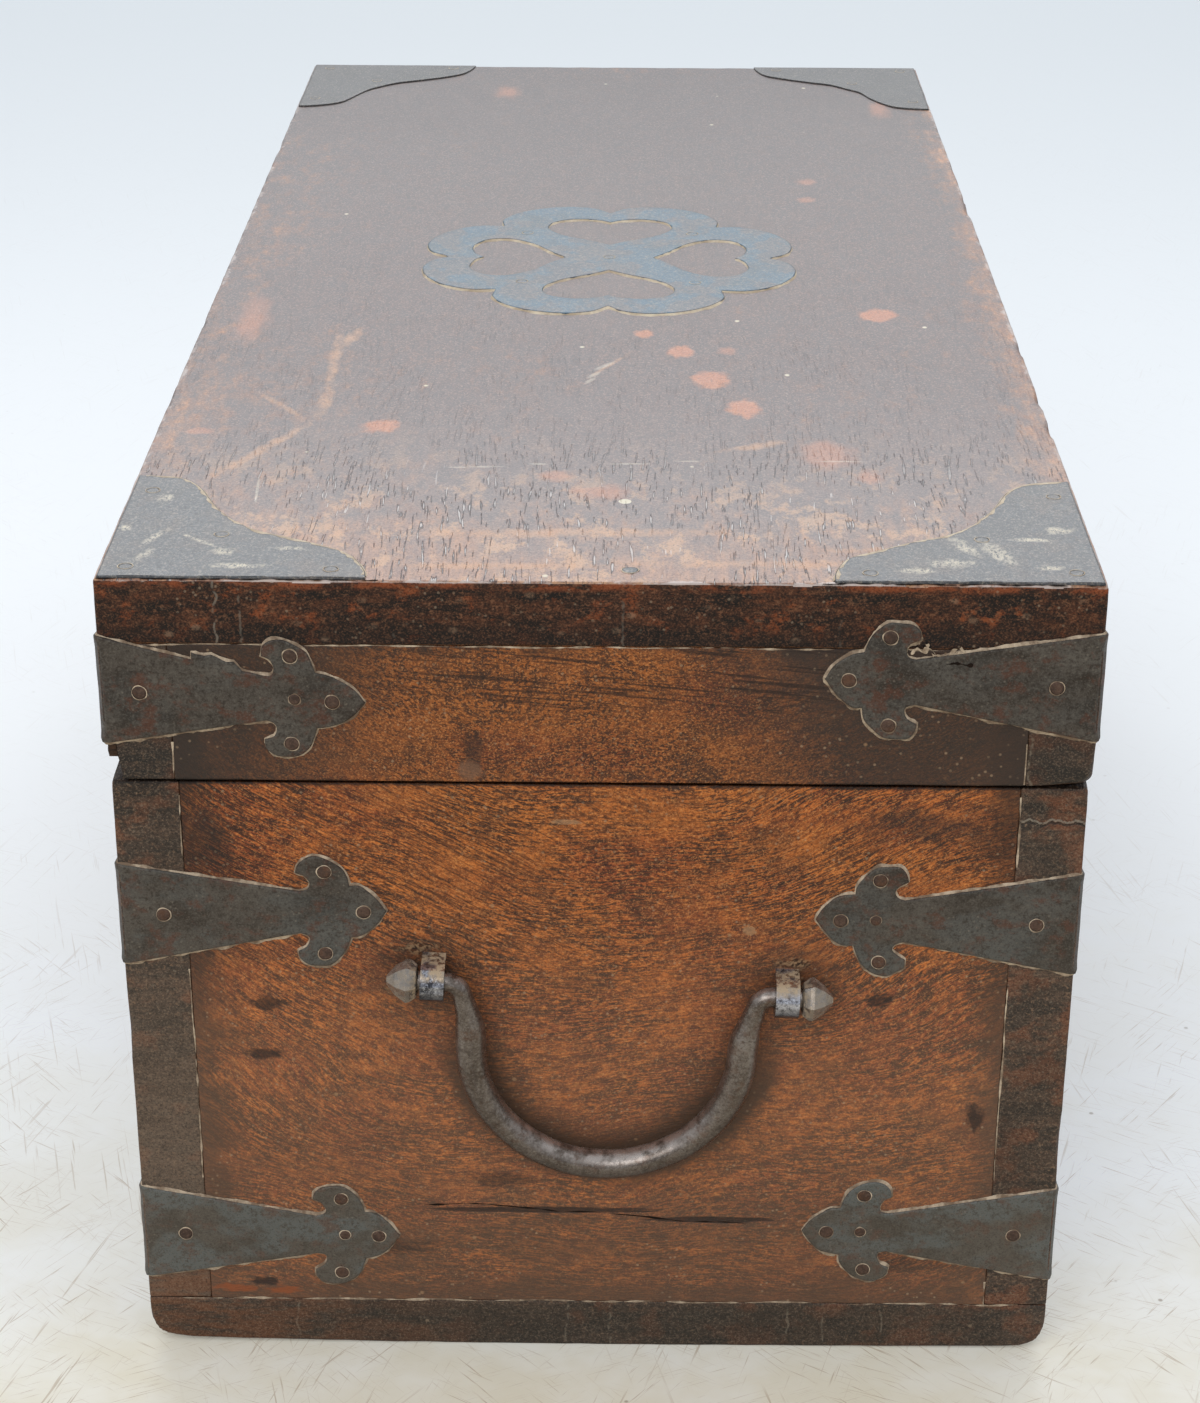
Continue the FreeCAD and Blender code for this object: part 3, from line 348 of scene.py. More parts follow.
def dark_wood():
    """Dark boards: long grain along x, and end grain with pores on the faces that look along x."""
    g = Graph("dark_board")
    wave = (g.noise((160, 40, 40), 2.0) - 0.5) * 16.0
    long_point = g.join(g.x, g.y + wave, g.z + wave)
    long_fibre = g.noise((26, 1.1, 0.9), 3.0, 0.6, long_point)
    long_dash = g.noise((9, 0.75, 0.6), 2.0, 0.5, long_point)
    long_band = g.noise((130, 10, 6), 3.0, 0.6, long_point)
    end_rings = g.noise((40, 15, 2.6), 4.0, 0.65)
    end_pores = g.cells((3.0, 1.1, 0.9))
    end_fibre = g.noise((5, 1.8, 0.5), 3.0, 0.7)
    speck = g.noise((1.2, 1.1, 0.9), 3.0, 0.75)
    nx, _, _ = g.split(g.normal)
    end = g.step(abs(nx), 0.6, 0.8)

    g.tone = g.mix(g.step(long_band, 0.36, 0.64), srgb(62, 42, 30), srgb(108, 68, 42))
    g.paint(g.step(long_fibre, 0.5, 0.7) * 0.55, 44, 32, 26)
    g.paint(g.step(long_fibre, 0.42, 0.28) * 0.5, 142, 92, 56)
    g.paint(g.step(long_dash, 0.56, 0.66) * 0.6, 34, 25, 21)
    long_tone = g.tone
    g.tone = g.mix(g.step(end_rings, 0.36, 0.62), srgb(48, 40, 34), srgb(86, 66, 53))
    g.paint(g.step(end_fibre, 0.5, 0.62) * 0.6, 36, 29, 25)
    g.paint(g.step(end_pores, 0.2, 0.1) * 0.4, 36, 29, 26)
    red = g.noise((40, 13, 9), 4.0, 0.65) + g.step(g.y, 20, -100) * 0.06
    g.paint(g.step(red, 0.52, 0.66) * 0.7, 122, 70, 43)
    g.paint(g.step(speck, 0.55, 0.66) * 0.65, 138, 106, 80)
    g.paint(g.step(speck, 0.45, 0.34) * 0.7, 30, 25, 22)
    aged = g.step(g.z, 118, 60) * g.step(g.z, 10, 16) * g.step(g.y, 60, 90)
    g.paint(aged * 0.5, 120, 101, 85)
    g.paint(g.step(g.z, 147.6, 148.0) * 0.5, 42, 39, 36)
    g.paint(g.motes(1.7, 0.3), 160, 146, 126)
    g.paint(g.step(g.z, 146, 130) * 0.09, 140, 124, 110)
    g.tone = g.mix(end, long_tone, g.tone)

    grime = g.step(g.noise((60, 24, 16), 4.0, 0.65), 0.44, 0.66)
    g.paint(grime * 0.4, 52, 43, 36)
    low = g.step(g.z, 13.5, 9.0) * g.step(g.y, -110, -20, 0.45, 1.0)
    g.paint(low * 0.6, 58, 52, 44)
    seam_grime(g)
    crack_place = g.y + g.noise((9, 9, 5), 3.0) * 3.0
    splits = reduce(or_, (
        g.step(abs(crack_place - (across + 1.5)), 0.4, 0.12)
        * (g.step(g.z, bottom - 1, bottom) * g.step(g.z, top, top - 1))
        for across, bottom, top in ((6.9, 0, 12), (-3.1, 0, 12), (-44.4, 4, 12), (-66.3, 5, 12), (70.0, 3, 13),
                                    (-52.5, 2, 9), (74.5, 148, 156), (-91.4, 148, 160))))
    splits = splits * end * g.step(g.noise((3, 3, 2.5), 2.0), 0.38, 0.54)
    g.paint(splits * 0.55, 128, 116, 100)
    sway = g.noise((9, 5, 30), 3.0, 0.6) * 5.0 + g.z
    bent = abs(sway - (138.6 + 2.5))
    crack = g.step(bent, 0.36, 0.16) * g.step(g.y, -90, -91) * end
    g.paint(crack * 0.8, 24, 20, 18)
    over = abs(sway - (139.2 + 2.5))
    rimmed = g.step(over, 0.36, 0.16) * g.step(g.y, -90, -91) * end
    g.paint(rimmed * 0.6, 150, 140, 126)
    flecks = g.step(g.cells((16, 8, 8)), 0.07, 0.03)
    g.paint(flecks * 0.55, 150, 128, 104)
    warm = g.step(g.z, 27, 20) * g.step(g.z, 12.4, 12.6) * g.step(g.y, 80, 90)
    warm = warm | g.step(g.z, 12.6, 12.4) * g.step(g.y, 20, 90)
    warm = warm * g.step(g.noise((20, 16, 3.5), 5.0, 0.7), 0.36, 0.58)
    g.paint(warm * end * 0.6, 124, 78, 50)
    g.sand(srgb(26, 21, 18), srgb(160, 138, 116), 0.6, 0.3)

    height = g.mix(end, long_fibre - g.step(long_dash, 0.56, 0.66), end_fibre - g.step(end_pores, 0.22, 0.08))
    height = height - (splits | crack) * 1.6
    height = height + speck
    normal = g.bump(height, 0.6, 0.18)
    normal = g.bump(g.noise((50, 18, 18), 3.0), 0.5, 0.8, normal)
    rough = g.step(g.noise((30, 10, 8), 3.0), 0.35, 0.7, 0.44, 0.64)
    return g.finish(rough, normal, specular=0.32)


def top_wood():
    """The lid's top: dark lacquer rubbed to orange near the ends and edges, pores along x."""
    g = Graph("lid_wood")
    wave = (g.noise((140, 50, 50), 2.0) - 0.5) * 18.0
    grain = g.join(g.x, g.y + wave, g.z)
    fibre = g.noise((16, 0.9, 4), 3.0, 0.65, grain)
    pore = g.noise((8.5, 0.62, 4), 1.0, 0.5, grain)
    cloud = g.noise((60, 34, 20), 5.0, 0.66)
    fine = g.noise((9, 5, 8), 5.0, 0.75)
    grit = g.noise((2.2, 1.2, 2), 3.0, 0.7)
    g.tone = g.mix(g.step(fine, 0.34, 0.66), srgb(72, 51, 50), srgb(92, 66, 60))
    g.paint(g.step(fibre, 0.46, 0.66) * 0.45, 56, 41, 42)
    g.paint(g.step(grit, 0.52, 0.7) * 0.35, 118, 84, 66)
    # Painted shade: the top is darker towards the far end, where it catches less sheen.
    g.paint(g.step(g.x, -80, 220, 0.0, 0.45), 46, 34, 36)

    near = g.step(g.x, -128, -236)
    back = g.step(g.y, 70, 108)
    front = g.step(g.y, -88, -107)
    far = g.step(g.x, 190, 240)
    wear = near * near * 0.28 + (far * 0.1 | front * 0.24 | back * 0.1)
    wear = wear + g.step(g.x, 40, -110) * 0.05
    left = g.length(g.vector("DIVIDE", g.vector("SUBTRACT", g.point, (-110, 74, 194)), (75, 40, 60)))
    wear = wear + g.step(left, 1.1, 0.3) * 0.04
    share = cloud * 0.4 + fine * 0.6 + wear
    rubbed = g.step(share, 0.58, 0.88)
    rubbed = g.math("MULTIPLY", rubbed, fine * 0.9 + 0.4, clamp=True)
    figure = g.step(g.noise((12, 2.2, 8), 5.0, 0.7, grain), 0.34, 0.66)
    wood = g.mix(figure, srgb(138, 82, 50), srgb(200, 134, 80))
    g.paint(rubbed, wood)
    # Painted sheen: the near part of the top is lightened, as if it reflected more light.
    painted_sheen = g.step(g.x, -90, -226, 0.0, 0.34) * g.step(fine, 0.36, 0.58, 0.5, 1.0)
    g.paint(painted_sheen, 160, 148, 146)
    tan = g.step(g.noise((14, 9, 8), 5.0, 0.72), 0.52, 0.62) * g.step(g.x, -130, -215)
    g.paint(tan * 0.55, 216, 164, 118)
    hollow = g.step(pore, 0.61, 0.66)
    hollow = hollow * g.step(g.noise((30, 18, 9), 3.0), 0.36, 0.54)
    hollow = hollow * (g.step(g.x, -120, -180) | g.step(g.x, 150, -120, 0.04, 0.3))
    g.paint(hollow * 0.9, 50, 42, 46)
    glint = g.step(pore, 0.695, 0.715) * g.step(g.x, -150, -190)
    g.paint(glint * 0.65, 220, 210, 204)

    rings = g.top_marks([(-103.3, -26.1, 7.8, 5.8, 0.5, 0.4), (-81.6, -18.8, 5.6, 4.2, 0.5, 0.45),
                         (-123.8, -33.6, 7.8, 5.6, 0.55, 0.45), (-49.8, -71.0, 7.0, 5.8, 0.5, 0.4),
                         (-67.2, -9.5, 4.0, 3.3, 0.5, 0.5), (-138.3, 52.5, 6.0, 5.6, 0.6, 0.5)])
    g.paint(rings * 0.72, g.mix(fine, srgb(186, 94, 44), srgb(216, 134, 78)))
    faint = g.top_marks([(-80.6, -30.5, 4.2, 3.2, 0.4, 0.7), (-155.8, -51.4, 13, 8.0, 0.4, 0.6),
                         (-170, -60, 6, 4.0, 0.5, 0.8), (-170.7, 10.9, 4.6, 5.2, 0.4, 0.7),
                         (-180.5, 0.0, 6, 10, 0.5, 0.8), (-57.7, 93.0, 24, 6.0, 0.6, 0.9),
                         (-142.6, 94.9, 3, 4.2, 0.4, 0.6), (195, 36, 14, 6, 0.5, 0.9),
                         (173, -88, 16, 5, 0.5, 0.9), (82, -59.3, 5, 4, 0.5, 0.8),
                         (61.9, -58, 4, 4, 0.5, 0.8)])
    g.paint(faint * 0.58, 186, 112, 72)

    # Long pale scuffs.
    scuffs = g.streaks(((-155, 79.0, 27, 2.2, -27), (-122, 67.5, 18, 2.4, -2), (-90, 68.2, 32, 2.0, 1),
                        (-74, 66, 15, 2.6, -14), (-92, -1.0, 13, 1.0, -27), (-205, 6, 3.5, 44, 2),
                        (-222, -30, 3.0, 34, 0), (-224, 20, 2.5, 30, 0), (-214, -56, 2.2, 12, 0),
                        (-150, -36, 3, 12, 25), (-124, 78.0, 14, 1.6, 35)), (6, 4, 5))
    g.paint(scuffs * 0.62, 204, 146, 98)
    chalk = g.streaks(((-165.5, 33.5, 0.5, 3.0, 0), (-165.0, 27.0, 0.5, 4.6, 3),
                       (-163.0, 15.0, 0.7, 2.4, 0), (-162.5, -6.0, 0.6, 5.0, 2),
                       (-160.5, -19.5, 0.5, 3.6, 0), (-160.0, -54.0, 0.5, 6.0, 0),
                       (-93.0, 0.5, 4.2, 1.0, -35), (-100.0, 3.0, 3.0, 1.0, -30),
                       (-104.5, 4.0, 3.0, 0.8, -25), (-181.0, 77.0, 9.0, 0.4, 4)), (2, 1.6, 2), 2.0)
    g.paint(chalk * 0.45, 214, 200, 178)
    g.sand(srgb(44, 34, 36), srgb(190, 156, 134), 0.55, 0.4)

    paint = g.spot((-186.2, -5.0, 194), (1.5, 1.5, 5), 0.1, 0.1) | g.step(g.cells((22, 18, 9)), 0.045, 0.02)
    g.paint(paint * 0.8, 226, 214, 184)

    # Pale worn edges along the near end and the long sides; along the near end the pale line is also a painted
    # highlight.
    worn = abs(g.x + 232.7) + g.noise((3, 5, 3), 4.0, 0.7) * 3.4
    long_edge = 105.2 - abs(g.y)
    long_edge = long_edge + g.noise((6, 3, 3), 4.0, 0.65) * 5.0
    thin = g.noise((14, 22, 9), 3.0, 0.6)
    worn = worn + g.step(thin, 0.4, 0.6, 0.9, -0.5)
    worn_edge_and_highlight = g.step(worn, 2.5, 1.9) | g.step(long_edge, 3.6, 2.2) * 0.8
    g.paint(worn_edge_and_highlight * 0.8, g.mix(fine, srgb(176, 158, 150), srgb(226, 214, 208)))

    height = fibre * 0.35 - hollow * 1.4
    normal = g.bump(height, 0.6, 0.18)
    normal = g.bump(g.noise((60, 30, 18), 4.0, 0.55), 0.3, 0.8, normal)
    rough = g.step(fine, 0.3, 0.7, 0.36, 0.4) + rubbed * 0.05
    rough = rough + g.step(g.x, -60, 220, 0.0, -0.07)
    plain = g.mix(g.step(fibre, 0.36, 0.62), srgb(150, 102, 66), srgb(104, 68, 44))
    plain = g.mix(g.step(cloud, 0.42, 0.66) * 0.5, plain, srgb(92, 64, 46))
    under = g.step(g.z, 186, 184)
    g.paint(under, plain)
    rough = rough + under * 0.34
    return g.finish(rough, normal, specular=0.5)


def top_rim_wood():
    """The top board's upright faces: red-brown with black mottling, darkest low down."""
    g = Graph("lid_wood_rim")
    fine = g.noise((14, 6, 4.0), 6.0, 0.74)
    grit = g.noise((1.3, 1.3, 0.9), 3.0, 0.75)
    g.tone = g.mix(g.step(g.noise((60, 15, 3.0), 6.0, 0.72), 0.38, 0.62), srgb(31, 26, 24), srgb(84, 50, 34))
    g.paint(g.step(fine, 0.54, 0.66) * 0.8, 142, 74, 40)
    g.paint(g.step(fine, 0.48, 0.36) * 0.75, 27, 22, 20)
    g.paint(g.step(grit, 0.52, 0.62) * 0.6, 30, 24, 22)
    g.paint(g.step(grit, 0.45, 0.36) * 0.5, 134, 92, 66)
    foot = g.z + g.noise((9, 9, 4), 4.0) * 5.0
    g.paint(g.step(foot, 189.5, 183.5) * 0.75, 30, 25, 23)
    glow = g.step(g.z, 191.8, 193.4) * g.step(g.noise((8, 12, 4), 4.0, 0.7), 0.46, 0.62)
    g.paint(glow * 0.75, 146, 74, 40)
    # A pale line along the top edge: worn wood and a painted highlight.
    rim = g.z + g.noise((3, 5, 3), 4.0, 0.7) * 2.4
    g.paint(g.step(rim, 195.1, 195.5) * 0.8, 186, 166, 154)
    spill = g.step(g.cells((10, 7, 5)), 0.2, 0.08) * g.step(fine, 0.4, 0.6)
    g.paint(spill * 0.45, 146, 120, 98)
    g.paint(g.motes(1.8, 0.5), 158, 138, 116)
    g.sand(srgb(20, 16, 15), srgb(150, 104, 76), 0.75, 0.3)
    lines = None
    for across, share, top in ((80.2, 1.0, 195), (75.0, 0.6, 195), (-4.8, 0.6, 195), (43, 0.4, 186),
                               (-50, 0.3, 187)):
        bend = g.noise((9, 9, 3), 3.0) * 2.6 + g.y
        crack = g.step(abs(bend - (across + 1.3)), 0.36, 0.12)
        crack = crack * share * g.step(g.z, top, top - 1)
        lines = crack if lines is None else lines | crack
    lines = lines * g.step(g.noise((4, 4, 2.5), 2.0), 0.38, 0.55)
    g.paint(lines * 0.6, 132, 122, 110)
    normal = g.bump(fine + grit, 0.6, 0.18)
    return g.finish(g.step(fine, 0.3, 0.7, 0.5, 0.62), normal, specular=0.22)


def iron(name, dark, body, light, rough=(0.42, 0.6), metallic=0.25, grit=0.5, specular=0.4,
         rust=0.3, rust_tone=(104, 66, 42), scratch=0.35, scratch_tone=None, top=None, under=0.5, dusty=None,
         patch=None, film=None, marks=None):
    """Patinated iron: clouded oxide, fine grit, scratches, rust and a patch colour."""
    g = Graph(name)
    cloud = g.noise((14, 14, 9), 5.0, 0.7)
    fine = g.noise((1.3, 1.3, 1.1), 4.0, 0.75)
    g.tone = g.mix(g.step(cloud, 0.34, 0.54), dark, body)
    g.paint(g.step(cloud, 0.54, 0.72) * 0.7, light)
    if patch is not None:
        colour, size, start, stop = patch
        share = g.step(g.noise(size, 4.0, 0.6), start, stop) * 0.8
        if film is not None:
            share = share * g.step(g.z, 145, 45, 0.12, 1.0)
        g.paint(share, colour)
    g.paint(g.step(fine, 0.5, 0.62) * 0.75, dark)
    g.paint(g.step(fine, 0.45, 0.35) * 0.45, scratch_tone or light)
    brown = g.step(g.noise((7, 7, 5), 6.0, 0.75), 0.51, 0.64)
    g.paint(brown * rust, *rust_tone)
    lines = None
    for lean, size in ((0.7, 26), (-0.9, 18)):
        turned = g.join(g.x + g.y * lean, g.y - g.x * lean, g.z + g.y * (0.45 * lean))
        line = g.step(g.noise((size, 0.8, 0.7), 3.0, 0.65, turned), 0.6, 0.68)
        line = line * g.step(g.noise((16, 16, 12), 3.0), 0.5, 0.64)
        lines = line if lines is None else lines | line
    g.paint(lines * scratch, scratch_tone or light)
    if film is not None:
        g.paint(g.step(g.z, 158, 20, 0.0, 0.34), film)
    if marks is not None:
        worn = g.streaks(marks, (2.4, 2.4, 2.4), 2.4) * g.step(g.noise((1.5, 0.8, 0.8), 3.0, 0.8), 0.4, 0.52)
        brown = g.step(g.noise((26, 18, 9), 5.0, 0.7), 0.5, 0.64) * 0.55
        g.paint(brown, 96, 82, 74)
        g.paint(worn * 0.9, 210, 196, 170)
        # Painted shade: the plates are darker towards the far end, where the top catches less sheen.
        g.paint(g.step(g.x, 60, 190, 0.0, 0.95), 32, 27, 28)
    g.paint(g.motes(1.5, 0.22), 168, 156, 140)
    g.sand(dark, scratch_tone or light, *((0.5, 0.5) if marks is None else (0.9, 0.6)))
    # Upward faces take the top colour: settled dust, and on the forged bails also a painted highlight.
    if top is not None:
        _, _, nz = g.split(g.normal)
        worn = g.step(nz, 0.35, 0.8) * g.step(g.noise((3, 3, 3), 3.0), 0.34, 0.56)
        g.paint(worn, top)
        # Painted shade: downward faces darkened, standing for the dark surroundings they reflect; partly grime.
        g.paint(g.step(nz, 0.1, -0.6) * under, dark)
    if dusty is not None:
        away = abs(g.y + 2.5)
        settled = worn
        if dusty == "knob":
            knob = g.step(away, 41.9, 42.3)
            g.paint(knob * 0.5, 170, 162, 154)
            settled = knob * g.step(away + fine * 5.0, 47.0, 44.6, 0.25, 0.9)
        settled = settled * g.step(g.noise((1.4, 1.4, 1.4), 3.0, 0.7), 0.4, 0.56)
        g.paint(settled, 186, 164, 136)
        metallic = settled * -metallic + metallic
    normal = g.bump(fine, grit, 0.16)
    normal = g.bump(g.noise((10, 10, 8), 3.0), 0.4, 0.35, normal)
    gloss = g.step(cloud * 0.5 + fine * 0.5, 0.36, 0.64, *rough)
    return g.finish(gloss, normal, metallic, specular)


def dust_material(name, dark, light, rough, specular):
    g = Graph(name)
    g.tone = g.mix(g.step(g.noise((5, 5, 5), 4.0, 0.7), 0.36, 0.64), dark, light)
    g.paint(g.step(g.noise((1.2, 1.2, 1.2), 3.0), 0.5, 0.66) * 0.4, dark)
    return g.finish(rough, g.bump(g.noise((0.6, 0.6, 0.6), 2.0), 0.5, 0.15), specular=specular)


# Dark cracks and slots, and the painted shadow under the near plates' front edges.
def crack_and_shadow_material():
    g = Graph("dark_crack_and_shadow")
    g.tone = g.mix(g.noise((3, 3, 3), 3.0), srgb(22, 17, 15), srgb(44, 33, 27))
    return g.finish(0.95, None, specular=0.1)


WOOD_PANEL = panel_wood()
WOOD_DARK = dark_wood()
WOOD_TOP = top_wood()
WOOD_RIM = top_rim_wood()
STRAP = iron("strap_iron", srgb(54, 46, 40), srgb(84, 77, 70), srgb(106, 100, 92), rust=0.75, specular=0.3,
             rust_tone=(94, 58, 44), patch=(srgb(100, 110, 112), (30, 24, 12), 0.46, 0.58),
             film=srgb(122, 114, 102))
PLATE_MARKS = (
    (-209.6, 95.0, 6.5, 1.6, -24), (-211.6, 86.2, 7.0, 0.9, 49), (-218.0, 79.8, 2.4, 3.4, 0),
    (-226.0, 76.0, 1.8, 8.0, 0), (-187.3, 96.4, 2.8, 2.4, 0), (-205.2, 102.4, 2.4, 1.6, 0),
    (-220.5, 96.4, 4.6, 1.6, -29), (-216.2, 66.5, 1.4, 4.0, 0), (-213.0, -77.5, 7.5, 2.2, 25),
    (-216.0, -84.0, 9.0, 2.8, 22), (-208.5, -92.0, 1.4, 5.5, 0), (-222.0, -74.0, 3.0, 6.0, 0),
    (-203.0, -98.5, 2.8, 4.0, 0), (-224.0, -94.0, 1.6, 4.0, 0), (-226.0, -66.0, 2.0, 5.0, 0))
PLATE = iron("plate_iron", srgb(44, 45, 49), srgb(69, 72, 77), srgb(96, 99, 103), (0.36, 0.42), 0.0, 0.25, 0.5,
             rust=0.22, rust_tone=(112, 84, 66), scratch=0.4, scratch_tone=srgb(150, 140, 124), marks=PLATE_MARKS)
FITTING = iron("fitting_iron", srgb(10, 57, 76), srgb(12, 79, 106), srgb(26, 89, 114), (0.34, 0.40), 0.0, 0.25,
               0.5, rust=0.35, rust_tone=(98, 80, 72), scratch=0.4, scratch_tone=srgb(150, 142, 124),
               patch=(srgb(82, 72, 74), (16, 14, 20), 0.47, 0.56))
# Forged bails: the top colour on upward faces is settled dust and a painted highlight; under is painted shade on
# downward faces.
FORGED = iron("forged_iron", srgb(86, 76, 69), srgb(122, 112, 105), srgb(152, 144, 138), (0.22, 0.34), 0.75,
              0.5, rust=0.4, scratch=0.3, top=srgb(176, 166, 160), under=0.45, dusty="knob")
# Staples: the top colour is settled dust; under is painted shade on downward faces.
STRIP = iron("strip_iron", srgb(52, 52, 58), srgb(186, 186, 194), srgb(224, 224, 232), (0.14, 0.26), 0.85,
             0.2, rust=0.10, scratch=0.2, top=srgb(186, 168, 148), under=0.75, dusty="top")
HINGE = iron("hinge_iron", srgb(52, 48, 44), srgb(76, 72, 67), srgb(100, 95, 88), rust=0.35)
NAIL = iron("nail_iron", srgb(62, 46, 39), srgb(88, 66, 55), srgb(106, 84, 72), (0.42, 0.6), 0.25, 0.5, rust=0.5)
DUST = dust_material("seam_dust", srgb(128, 108, 90), srgb(202, 182, 158), 0.95, 0.1)
PALE_DUST = dust_material("lid_dust", srgb(168, 146, 118), srgb(206, 188, 160), 0.6, 0.5)
CRACK_AND_SHADOW = crack_and_shadow_material()


def peg_wood():
    g = Graph("peg_wood")
    g.tone = g.mix(g.step(g.noise((0.9, 9, 0.9), 3.0), 0.36, 0.64), srgb(48, 35, 27), srgb(82, 57, 39))
    g.paint(g.step(g.noise((1, 1, 1), 2.0), 0.5, 0.65) * 0.5, 48, 34, 26)
    return g.finish(0.7, g.bump(g.noise((0.7, 0.7, 0.7), 2.0), 0.5, 0.15), specular=0.3)


PEG = peg_wood()


# ---------------------------------------------------------------- meshes

def new_piece(name, vertices, faces, material, body, replaced=()):
    """A mesh piece from points in millimetres that rides on a body."""
    mesh = bpy.data.meshes.new(name)
    mesh.from_pydata([Vector(point) * MM for point in vertices], [], faces)
    mesh.update()
    piece = bpy.data.objects.new(name, mesh)
    bpy.context.scene.collection.objects.link(piece)
    mesh.shade_smooth()
    mesh.materials.append(material)
    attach(piece, body)
    if replaced:
        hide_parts(*replaced)
    return piece


def stations(low, high, step):
    """Grid lines of a board: close together by its edges and even between them."""
    edge = [0, 0.25, 0.55, 0.95, 1.5, 2.3, 3.6, 5.5]
    if high - low < 12:
        edge = [size for size in edge if size < (high - low) / 2 - 0.3]
    inner_low = low + edge[-1]
    inner_high = high - edge[-1]
    count = max(1, round((inner_high - inner_low) / step))
    middle = [inner_low + (inner_high - inner_low) * row / count for row in range(1, count)]
    return [low + size for size in edge] + middle + [high - size for size in reversed(edge)]


def soften(point, low, high, radius):
    """Moves a point of a box's surface onto the box with rounded edges."""
    core = Vector([min(max(part, small + radius), large - radius)
                   for part, small, large in zip(point, low, high)])
    away = point - core
    if away.length < 1e-9:
        return point
    return core + away.normalized() * min(away.length, radius)


def worn_board(node, material, body, radius, chips=(), step=4.0, low_round=0.0, trim=None, rim=None):
    """A board as a dense grid whose edges are rounded unevenly and chipped in places."""
    low, high = (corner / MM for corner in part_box(node))
    lines = [stations(small, large, step) for small, large in zip(low, high)]
    index = {}
    points = []
    faces = []

    def number(*rows):
        if rows not in index:
            index[rows] = len(points)
            points.append(Vector([lines[axis][row] for axis, row in enumerate(rows)]))
        return index[rows]

    for axis in range(3):
        first, second = [other for other in range(3) if other != axis]
        for end in (0, len(lines[axis]) - 1):
            flip = (end == 0) != (axis == 1)
            for i in range(len(lines[first]) - 1):
                for j in range(len(lines[second]) - 1):
                    ring = []
                    for a, b in ((i, j), (i + 1, j), (i + 1, j + 1), (i, j + 1)):
                        rows = [0, 0, 0]
                        rows[axis], rows[first], rows[second] = end, a, b
                        ring.append(number(*rows))
                    faces.append(ring[::-1] if flip else ring)
    centre = (low + high) / 2
    moved = []
    for point in points:
        spot = point / 9.0
        wear = radius * (0.55 + 0.9 * abs(noise.noise(spot)) + 0.5 * abs(noise.noise(spot * 3.1)))
        for place, reach, depth in chips:
            share = max(0.0, 1 - (point - Vector(place)).length / reach)
            wear += depth * share * share * (3 - 2 * share)
        wear = min(wear, min(high - low) / 2 - 0.2)
        new = soften(point, low, high, wear)
        if low_round and new.z < low.z + low_round:
            out = abs(new.y - centre.y) - ((high.y - low.y) / 2 - low_round)
            if out > 0:
                side = 1 if new.y > centre.y else -1
                down = low.z + low_round - new.z
                scale = low_round / max(low_round, math.hypot(out, down))
                new.y = centre.y + side * ((high.y - low.y) / 2 - low_round + out * scale)
                new.z = low.z + low_round - down * scale
        moved.append(trim(new) if trim else new)
    piece = new_piece(f"worn_{node}", moved, faces, material, body, (node,))
    if rim is not None:
        piece.data.materials.append(rim)
        for face in piece.data.polygons:
            face.material_index = int(abs(face.normal.z) < 0.5)


def smooth_run(points, step=0.8):
    """Points along a smooth curve through the given ones, without its last point."""
    if len(points) == 2:
        return [Vector(points[0])]
    spots = [Vector(point) for point in points]
    spots = [spots[0] * 2 - spots[1]] + spots + [spots[-1] * 2 - spots[-2]]
    out = []
    for a, b, c, d in zip(spots, spots[1:], spots[2:], spots[3:]):
        count = max(2, round((c - b).length / step))
        for row in range(count):
            t = row / count
            out.append(0.5 * ((2 * b) + (c - a) * t + (2 * a - 5 * b + 4 * c - d) * t * t
                              + (3 * b - 3 * c + d - a) * t ** 3))
    return out


def even_ring(ring, step):
    """The ring with long straight stretches divided."""
    out = []
    for here, there in zip(ring, ring[1:] + ring[:1]):
        count = max(1, round((there - here).length / step))
        out += [here.lerp(there, row / count) for row in range(count)]
    return out


def offset_ring(ring, distance):
    """Each point moved towards the ring's left side (its inside, for a ring drawn anticlockwise)."""
    out = []
    count = len(ring)
    for row, point in enumerate(ring):
        before = (point - ring[row - 1]).normalized()
        after = (ring[(row + 1) % count] - point).normalized()
        left = Vector((-before.y - after.y, before.x + after.x))
        if left.length < 1e-6:
            left = Vector((-after.y, after.x))
        left.normalize()
        half = max(0.5, abs(left.dot(Vector((-after.y, after.x)))))
        out.append(point + left * (distance / half))
    return out


def inside(point, rings):
    """Whether a point is inside the first ring and outside the others."""
    hit = False
    for ring in rings:
        for here, there in zip(ring, ring[1:] + ring[:1]):
            if (here.y > point.y) != (there.y > point.y):
                if point.x < here.x + (point.y - here.y) * (there.x - here.x) / (there.y - here.y):
                    hit = not hit
    return hit


def signed_area(ring):
    return sum(a.x * b.y - b.x * a.y for a, b in zip(ring, ring[1:] + ring[:1])) / 2


